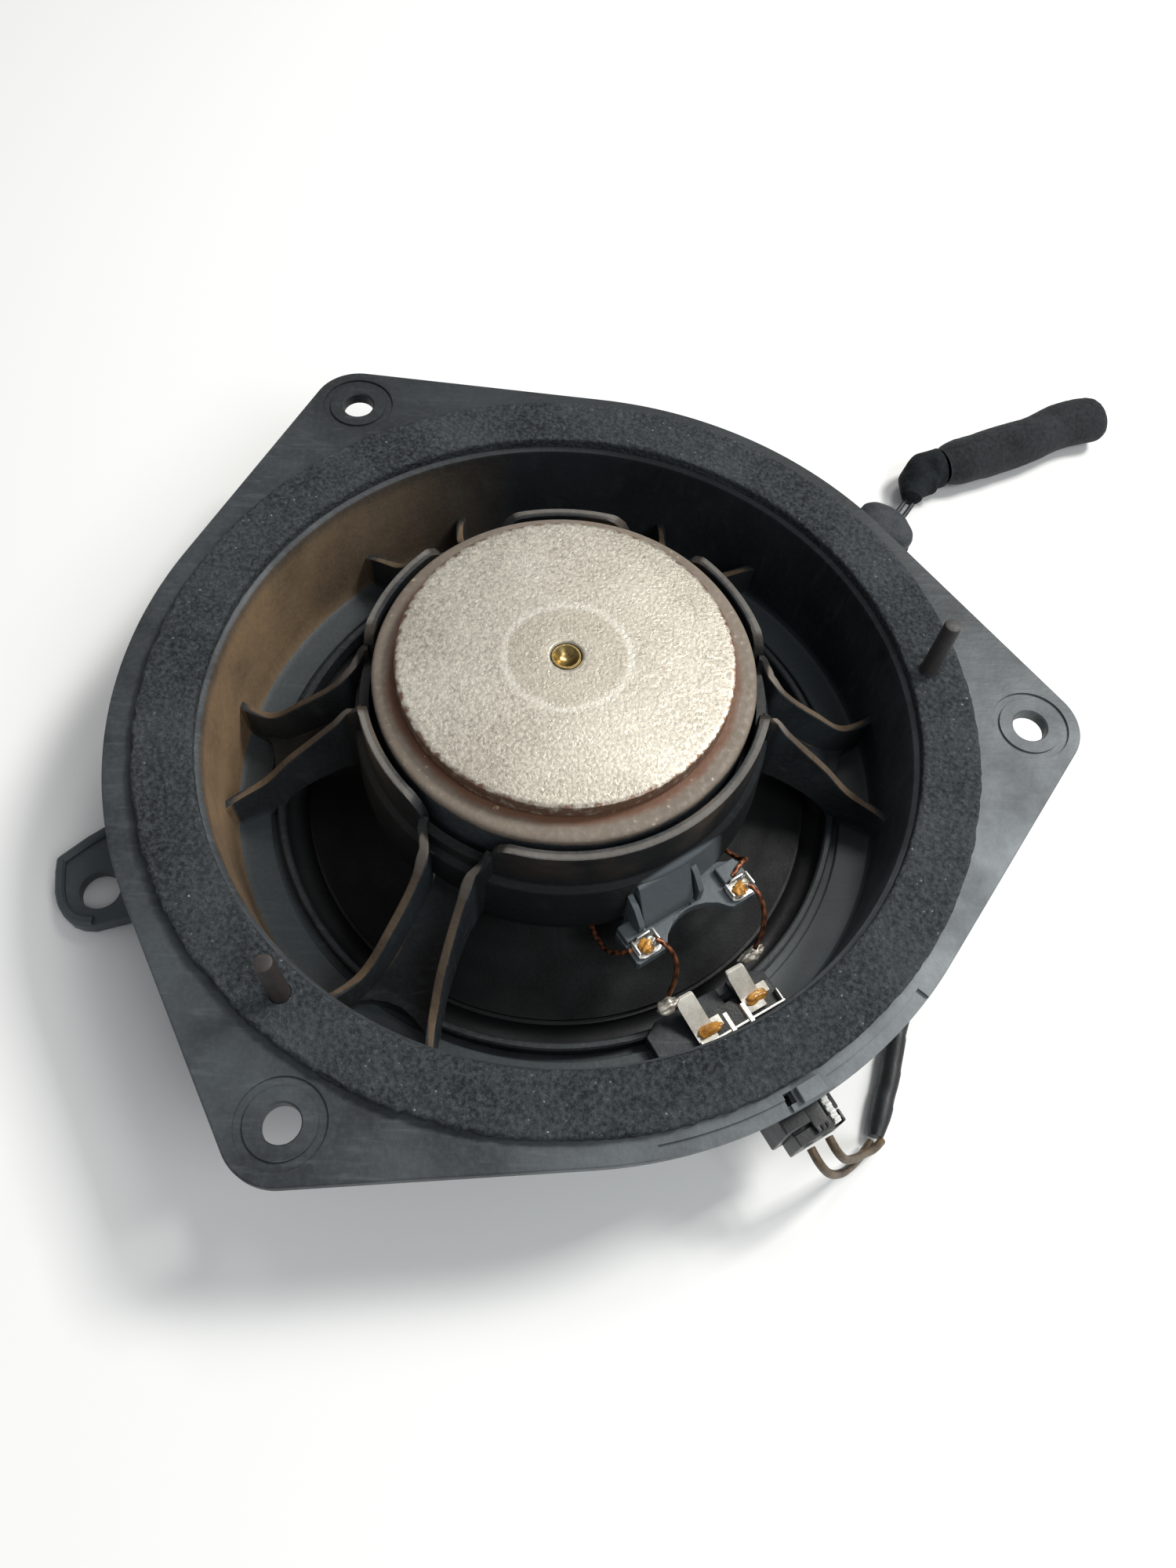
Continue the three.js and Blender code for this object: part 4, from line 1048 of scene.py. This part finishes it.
def drilled():
    """Everything that is cut from the moulding."""
    holes = []
    for angle, distance in EARS:
        x, y = ear_centre(angle, distance)
        holes.append(peg(3.8, 30, 50, x, y, 48))
        recess = turned([(7, 39.5), (8.7, 39.5), (8.9, 41), (6.8, 41)], 56)
        holes.append(moved(recess, x, y, 0))
        lead_in = turned([(0, 39.6), (3.8, 39.6), (4.3, 40.2), (0, 40.2)], 48, closed=False)
        holes.append(moved(lead_in, x, y, 0))
    holes.append(peg(4.7, -1, 10, LUG_HOLE[0], LUG_HOLE[1], 48))
    holes.append(arc_strip(94.3, 100, -79, -62.9, 39.2, 42))
    holes.append(arc_strip(94.3, 100, -57.4, -41, 39.2, 42))
    holes.append(arc_strip(93.2, 95.6, -63.2, -62.1, 30, 50))
    return holes + socket_cuts()


mouth = peg(79.8, 30, 45, 0, 0, 192)
shell = fused(flange(), cuts=[mouth])
lug_plate, lug_edge, lug_dish = side_lug()
moulding = fused(
    shell,
    [well(), drum(), *[spoke(a) for a in SPOKE_ANGLES], bridge(), plinth(), fused(lug_plate, cuts=[lug_dish]),
     lug_edge, *[locating_pin(x, y) for x, y in LOCATING_PINS],
     soften(arc_strip(93.2, 96.6, -61.6, -58.4, 39, 41.6), 0.25, 50)],
    drilled(),
)
piece("basket_moulding", moulding, BASKET_NYLON, "basket", ["basket"], sharp=28)
socket_box, *socket_ribs = socket()
piece("socket_shell", fused(socket_box, socket_ribs, socket_cuts()), PLUG_PBT, "basket", ["basket"])


# ---------------------------------------------------------------- gaskets

def rear_gasket():
    """The foam ring on the flange: square cut, with a crumbled outer edge."""
    low, high, inner, outer = 40.1, 42.8, 79.4, 92.4
    rows = 14
    top = [(outer - 0.5 - (outer - inner - 1.0) * k / rows, high - 0.05) for k in range(rows + 1)]
    profile = [(inner, low), (outer, low), (outer, low + 1.4), (outer, high - 0.5), *top, (inner, high - 0.5),
               (inner, low + 1.4)]
    bm = turned(profile, 420)
    cuts = [peg(2.25, 38, 45, x, y, 24) for x, y in LOCATING_PINS]
    bm = fused(bm, cuts=cuts)

    def crumbled(vert):
        x, y, z = vert.co
        radius = math.hypot(x, y)
        bite = noise.noise(Vector((x * 0.55, y * 0.55, z * 0.3)))
        crumb = noise.noise(Vector((x * 1.7, y * 1.7, z)))
        if radius > outer - 1:
            worn = 0.2 + max(0.0, -0.8 * x / radius - 0.6 * y / radius)
            pull = max(0.0, 0.25 + 0.45 * bite + 0.35 * crumb) * (0.5 + worn)
            vert.co.x -= x / radius * pull
            vert.co.y -= y / radius * pull
        elif radius < inner + 0.2:
            push = max(0.0, 0.2 * bite + 0.15 * crumb)
            vert.co.x += x / radius * push
            vert.co.y += y / radius * push
        if z > low + 1:
            vert.co.z = min(high, z + 0.16 * crumb + 0.14 * bite - 0.12)

    ring = piece("rear_gasket_foam", bm, GASKET_FOAM, "basket", ["rear_gasket"], sharp=70,
                 ragged=crumbled)


def front_gasket():
    """The softer foam ring that clamps the surround behind the front grille."""
    bm = soften(turned([(67.6, 2.7), (73.9, 2.7), (73.9, 5.9), (67.6, 5.9)], 256), 0.5, 40, 3)

    def crumbled(vert):
        if vert.co.z < 5:
            vert.co.z += 0.12 * noise.noise(vert.co * 0.8) + 0.05

    ring = piece("front_gasket_foam", bm, GASKET_FOAM, "basket", ["front_gasket"], sharp=70,
                 ragged=crumbled)


rear_gasket()
front_gasket()


# ---------------------------------------------------------------- cone and its suspension

CONE_EDGE = 59.6
CONE_NECK = 13.4
SURROUND_Z = 6.5


def cone_height(radius):
    """The height of the cone's skin at a radius."""
    return 7.3 + 19.7 * ((CONE_EDGE - radius) / (CONE_EDGE - CONE_NECK)) ** 1.12


def graded(obj, inner, outer):
    """Makes a suspension follow the cone at its inner radius and the basket at its outer one."""
    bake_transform(obj, "basket", "cone_assembly", start=(outer * MM, 0, 0), end=(inner * MM, 0, 0))
    shares = obj.data.attributes["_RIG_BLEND"].data
    for vert, share in zip(obj.data.vertices, shares):
        radius = math.hypot(vert.co.x, vert.co.y) / MM
        flat = min(max((outer - radius) / (outer - inner), 0.0), 1.0)
        share.value = flat * flat * (3 - 2 * flat)


def surround():
    """The rubber roll between the cone's edge and the basket, on a flat flange at each side."""
    inner, outer = CONE_EDGE - 3.4, 73.8
    start, end = CONE_EDGE + 0.3, 66.8
    middle, radius = (start + end) / 2, (end - start) / 2

    def arc(size, first, last, lift):
        return [(middle + size * math.cos(math.radians(first + (last - first) * k / 12)),
                 SURROUND_Z + lift - size * math.sin(math.radians(first + (last - first) * k / 12)))
                for k in range(13)]

    profile = [(inner, SURROUND_Z + 1.3), *arc(radius - 0.35, 180, 0, 0.3), (outer, SURROUND_Z + 0.3),
               (outer, SURROUND_Z - 0.3), *arc(radius + 0.35, 0, 180, -0.3), (inner, SURROUND_Z + 0.6)]
    roll = piece("surround_roll", turned(profile, 160), SURROUND_RUBBER, None, ["surround"])
    graded(roll, start, end)


def spider():
    """The pleated cloth spider."""
    inner, flat, folds = 13.4, 37.4, 8
    rows = folds * 6
    upper = []
    for k in range(rows + 1):
        share = k / rows
        swing = math.sin(math.pi * folds * share) * min(1.0, 4 * share, 4 * (1 - share))
        upper.append((inner + (flat - inner) * share, 32.15 + 0.75 * swing))
    rim = [(38.6, 32.9), (42.2, 32.9), (42.2, 32.5), (38.8, 32.5)]
    lower = [(r, z - 0.45) for r, z in reversed(upper)]
    cloth = piece("spider_cloth_disc", turned([*upper, *rim, *lower], 128), SPIDER_COTTON, None, ["spider"])
    graded(cloth, inner, flat)


def cone_body():
    """The paper cone, with shallow pressed rings on its rear."""
    rows = 40
    rear, front = [], []
    for k in range(rows + 1):
        r = CONE_EDGE + (CONE_NECK - CONE_EDGE) * k / rows
        ring = 0.12 * math.sin((r - 20) * 1.1) if 24 < r < 54 else 0
        rear.append((r, cone_height(r) + 1.2 + ring))
        front.append((r, cone_height(r) + 0.4 + ring))
    piece("cone_body", turned([*rear, *reversed(front)], 160), CONE_PAPER, "cone_assembly", ["cone"])


def dust_cap():
    """The domed cap over the cone's throat, on the side that faces the front."""
    edge, rise = 20.0, 7.5
    base = cone_height(edge) - 0.1
    outer = [(edge * k / 14, base - rise * (1 - (k / 14) ** 2) - 0.8) for k in range(15)]
    inner = [(r, z + 0.8) for r, z in reversed(outer)]
    piece("dust_cap_dome", turned([*outer, *inner], 96, closed=False), CONE_PAPER, "cone_assembly",
          ["dust_cap"])


surround()
spider()
cone_body()
dust_cap()

# ---------------------------------------------------------------- motor: turned pieces

BACK_PLATE = [
    (3.3, 59.4), (34.6, 59.4), (35, 59.8), (35, 62.5), (34.85, 63.0), (34.4, 63.25), (33.8, 63.3),
    *[(33.8 - 29.8 * k / 12, 63.3) for k in range(1, 13)], (3.55, 63.2), (3.3, 62.9),
]
FERRITE_RING = [
    (20.3, 44), (39.6, 44), (40, 44.4), (40, 57.9), (39.7, 58.5), (39.1, 58.85), (38.2, 58.97), (36, 59),
    (20.3, 59), (20, 58.7), (20, 44.3),
]
POLE = [(0, 38.5), (12, 38.5), (12.25, 38.8), (12.25, 59.1), (2.6, 59.1), (2.6, 50), (0, 50)]
RIVET = [(0, 50.3), (2.2, 50.3), (2.2, 60.6), (3.05, 62.3), (3.1, 62.85), (2.95, 63), (2.6, 63), (2.35, 62.7),
         (1.6, 61.9), (1.1, 61.5), (0, 61.4)]

for name, profile, steps, closed, material, body, node_name, slot in (
    ("back_plate_disc", BACK_PLATE, 160, True, ZINC_PLATE, "basket", "back_plate", "zinc_plate"),
    ("ferrite_ring", FERRITE_RING, 160, True, FERRITE, "basket", "ferrite_magnet", "ferrite"),
    ("top_plate_ring", [(14.3, 39), (38.3, 39), (38.5, 39.2), (38.5, 43.5), (38.3, 43.7), (14.3, 43.7)], 128,
     True, TURNED_STEEL, "basket", "top_plate", "steel"),
    ("pole_turned", POLE, 96, False, TURNED_STEEL, "basket", "pole_piece", "steel"),
    ("rivet_head", RIVET, 48, False, RIVET_BRASS, "basket", "centre_rivet", "brass"),
    ("coil_former_sleeve", [(12.75, 26), (13.05, 26), (13.05, 48), (12.75, 48)], 96, True, POLYIMIDE,
     "cone_assembly", "voice_coil_former", "polyimide"),
    ("coil_winding_turns", [(13.15, 35.4), (13.85, 35.4), (13.85, 47.2), (13.15, 47.2)], 96, True,
     COIL_COPPER, "cone_assembly", "voice_coil_winding", "copper"),
):
    piece(name, turned(profile, steps, closed), material, body, [node_name])


# ---------------------------------------------------------------- terminals and leads

TAB_OFFSETS = (-4, 9)
TAB_TIPS = (62.6, 64.1)
TAB_BEADS = ((63.0, -9.1, 2.3, 3.9), (62.2, 13.4, 2.1, 4.6))  # radius, offset, half sizes
TERMINAL_OFFSETS = (-12.2, 12.2)
JUMPER_ROUTES = (
    ((23.6, -57.4, 20.3), (24.6, -55.2, 24.6), (24.2, -53.0, 29.8), (21.8, -51.1, 33.5), (19.8, -50.0, 34.3)),
    ((43.0, -46.6, 20.3), (44.0, -44.2, 25.0), (43.4, -41.2, 30.6), (41.4, -38.8, 34.0), (39.8, -37.6, 34.4)),
)
TINSEL_ROUTES = (
    ((14.6, -51.8, 31.8), (12.4, -51.4, 29.2), (9.6, -49.0, 25.6), (6.6, -42.0, 23.2), (4.4, -32.0, 25.0),
     (2.4, -22.0, 27.2), (1.2, -15.2, 28.6)),
    ((36.9, -34.5, 31.6), (38.9, -31.7, 32.0), (40.6, -29.4, 29.4), (39.6, -26.8, 24.6), (34.0, -22.0, 23.4),
     (26.0, -16.8, 25.2), (18.6, -12.0, 27.4), (12.9, -8.3, 28.6)),
)


def solder_tray():
    """The tinned tray behind the tabs: an upturned outer lip and two turned ends, on a floor
    that is drawn almost black."""
    lip = soften(bar(73.5, 74.1, -6.5, 15, 12.65, 15.4), 0.12)
    ends = [soften(bar(start, 73.9, y, y + 0.5, 12.8, 14.9), 0.12)
            for start, y in ((70.6, 14.5), (72.6, -6.5))]
    piece("solder_tray_lip", swung(fused(lip, ends), CONNECTOR_ANGLE), TINNED_BRASS, "basket",
          ["solder_tray"])
    floor = soften(bar(67.6, 73.45, -6.4, 14.9, 12.6, 13.1), 0.1)
    piece("solder_tray_floor", swung(floor, CONNECTOR_ANGLE), NEAR_BLACK_TIN, "basket", ["solder_tray"])


def solder_tab(side, y, tip):
    """A tinned tab standing on the tray and leaning in, with a foot beside its stem."""
    outline = [(70, 0), (74, 0), (74, 0.8), (70.6, 0.8), (70.2, 0.95), (tip + 1, 5.3), (tip + 0.6, 5.4),
               (tip, 5.0), (tip + 0.1, 4.7), (69.5, 0.2)]
    stem = side_cut(outline, 2.3)
    for vert in stem.verts:  # It leans sideways as well.
        vert.co.y -= 0.24 * vert.co.z
    moved(stem, 0, y, 13.4)
    ears = [e for e in stem.edges if abs(e.verts[0].co.x - e.verts[1].co.x) < 0.8
            and all(v.co.x < tip + 1.2 for v in e.verts) and abs(e.verts[0].co.y - e.verts[1].co.y) < 0.1]
    bmesh.ops.bevel(stem, geom=soft_corners(ears), offset=1.1, offset_type="OFFSET", affect="EDGES",
                    segments=4, profile=0.5, material=-1, clamp_overlap=True)
    foot = soften(bar(69.0, 71.6, y + 2.2, y + 4.6, 13.4, 14.2), 0.2)
    if side == 2:
        for part in (stem, foot):
            moved(part, -1.4, 0, 0.3)
    piece(f"solder_tab_{side}_tin", swung(fused(stem, [foot]), CONNECTOR_ANGLE), LIT_TAB_TIN,
          "basket", [f"solder_tab_{side}"])


def soft_corners(edges):
    """Of some edges, the short ones through the sheet at its two end corners."""
    return [e for e in edges if 0.2 < e.calc_length() < 0.75]


def lumpy_bead(name, centre, radii, angle, material, nodes, seed, rough=0.22):
    """A frozen drop of solder or flux, uneven all round."""
    bm = bmesh.new()
    bmesh.ops.create_icosphere(bm, subdivisions=4, radius=1)
    for vert in bm.verts:
        swell = 1 - rough + rough * noise.noise(vert.co * 1.7 + Vector((seed, seed, 0)))
        vert.co *= swell
    bmesh.ops.scale(bm, verts=bm.verts, vec=radii)
    moved(bm, *centre)
    return piece(name, swung(bm, angle), material, "basket", nodes, sharp=80)


def bridge_terminal(side, y):
    """A tinned clip on the bridge with turned-up cheeks and a folded tongue."""
    base = soften(cut_out([(49.8, y - 2.6), (51, y - 3), (53.6, y - 2.9), (54.2, y - 1.8), (54.2, y + 1.9),
                           (53.4, y + 3), (50.6, y + 3), (49.8, y + 2.4)], 30.2, 30.9), 0.15)
    cheeks = [soften(bar(49.9, 53.2, y + dy, y + dy + 0.5, 30.6, top), 0.15)
              for dy, top in ((-2.75, 32.0), (2.25, 33.2))]
    tongue = soften(bar(49.8, 50.3, y - 1.4, y + 1.8, 30.6, 32.9), 0.15)
    piece(f"bridge_terminal_{side}_tin", swung(fused(base, [*cheeks, tongue]), PLATFORM_ANGLE), TINNED_BRASS,
          "basket", [f"bridge_terminal_{side}"])


def braided_lead(name, route, nodes):
    """A braided lead: a tube with the strands' crossing lumps pressed into its skin."""
    def strands(i, distance, angle):
        return 0.52 + 0.07 * math.sin(4 * angle + distance * 4.2) * math.sin(4 * angle - distance * 4.2)

    return piece(name, pulled_tube(smooth_path(route, 0.35), 0.6, 16, strands), TINSEL_COPPER, None, nodes,
                 sharp=80)


solder_tray()
for side in (1, 2):
    index = side - 1
    solder_tab(side, TAB_OFFSETS[index], TAB_TIPS[index])
    bead_radius, bead_offset, half_depth, half_width = TAB_BEADS[index]
    lumpy_bead(f"tab_solder_{side}_bead", (bead_radius, bead_offset, 18.1), (half_depth, half_width, 1.6),
               CONNECTOR_ANGLE, SOLDER, [f"tab_solder_{side}"], 3.1 * side, 0.3)
    jumper = braided_lead(f"jumper_braid_{side}", JUMPER_ROUTES[index], [f"jumper_lead_{side}"])
    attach(jumper, "basket")
    bridge_terminal(side, TERMINAL_OFFSETS[index])
    lumpy_bead(f"terminal_solder_{side}_bead", (51.8, TERMINAL_OFFSETS[index] + 0.9, 32.0), (1.7, 1.9, 1.2),
               PLATFORM_ANGLE, SOLDER, [f"terminal_solder_{side}"], 5.3 * side, 0.3)
    tinsel = braided_lead(f"tinsel_braid_{side}", TINSEL_ROUTES[index], [f"tinsel_lead_{side}"])
    graded(tinsel, 14, 46)
    lumpy_bead(f"tab_flux_{side}", (71.2 - 1.2 * index, TAB_OFFSETS[index] + 1.0, 14.5), (1.9, 3.9, 1.4),
               CONNECTOR_ANGLE, FLUX, [], 7.7 * side, 0.3)
    lumpy_bead(f"terminal_flux_{side}", (52.3, TERMINAL_OFFSETS[index] - 0.4, 31.9), (2.1, 2.4, 1.6),
               PLATFORM_ANGLE, FLUX, [], 9.9 * side, 0.3)


# ---------------------------------------------------------------- plug

def plug_housing():
    """The plug: a ribbed black body with a latch, a collar, two wire ways and the lock's slot."""
    z = CONNECTOR_Z
    body = soften(bar(86, 102.5, -5.3, 5.3, z - 5.5, z + 4.2), 0.35)
    latch = soften(bar(89, 101, -1.2, 2.4, z + 4, z + 6), 0.35)
    collar = soften(bar(99.9, 102.5, -5.3, 5.6, z - 5.5, z + 5), 0.3)
    ribs = [soften(bar(90.5 + 2.3 * k, 91.5 + 2.3 * k, -4.9, -2.2, z + 4, z + 5.2), 0.2) for k in range(4)]
    teeth = [soften(bar(97.7, 101.9, y - 0.45, y + 0.45, z + 5.6, z + 6), 0.1) for y in (-0.5, 0.6, 1.7)]
    ways = [bar(85, 107, y - 1.3, y + 1.3, z - 1.3, z + 1.3) for y in (-2.2, 2.2)]
    lock_slot = bar(95.1, 107, 2.9, 5.1, z + 2.2, z + 8)
    bm = fused(body, [latch, collar, *ribs, *teeth], [*ways, lock_slot])
    piece("plug_housing_shell", swung(bm, CONNECTOR_ANGLE), PLUG_PBT, "basket", ["plug_housing"])


def plug_lock():
    """The small slide that locks the plug, with grips across its top."""
    z = CONNECTOR_Z
    slide = soften(bar(95.9, 102.1, 3.2, 4.8, z + 2.6, z + 5.0), 0.2)
    grips = [soften(bar(96.5 + 1.5 * k, 97.2 + 1.5 * k, 3.3, 4.7, z + 4.8, z + 5.6), 0.15) for k in range(4)]
    piece("plug_lock_slide", swung(fused(slide, grips), CONNECTOR_ANGLE), LOCK_NYLON, "plug_lock",
          ["plug_lock"])


plug_housing()
plug_lock()

CARRIED = {"socket_pin_1": TINNED_BRASS, "socket_pin_2": TINNED_BRASS, "plug_contact_1": TINNED_BRASS,
           "plug_contact_2": TINNED_BRASS, "inline_connector": PLUG_PBT}
for node_name, material in CARRIED.items():
    for slot_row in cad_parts[node_name].material_slots:
        slot_row.material = material
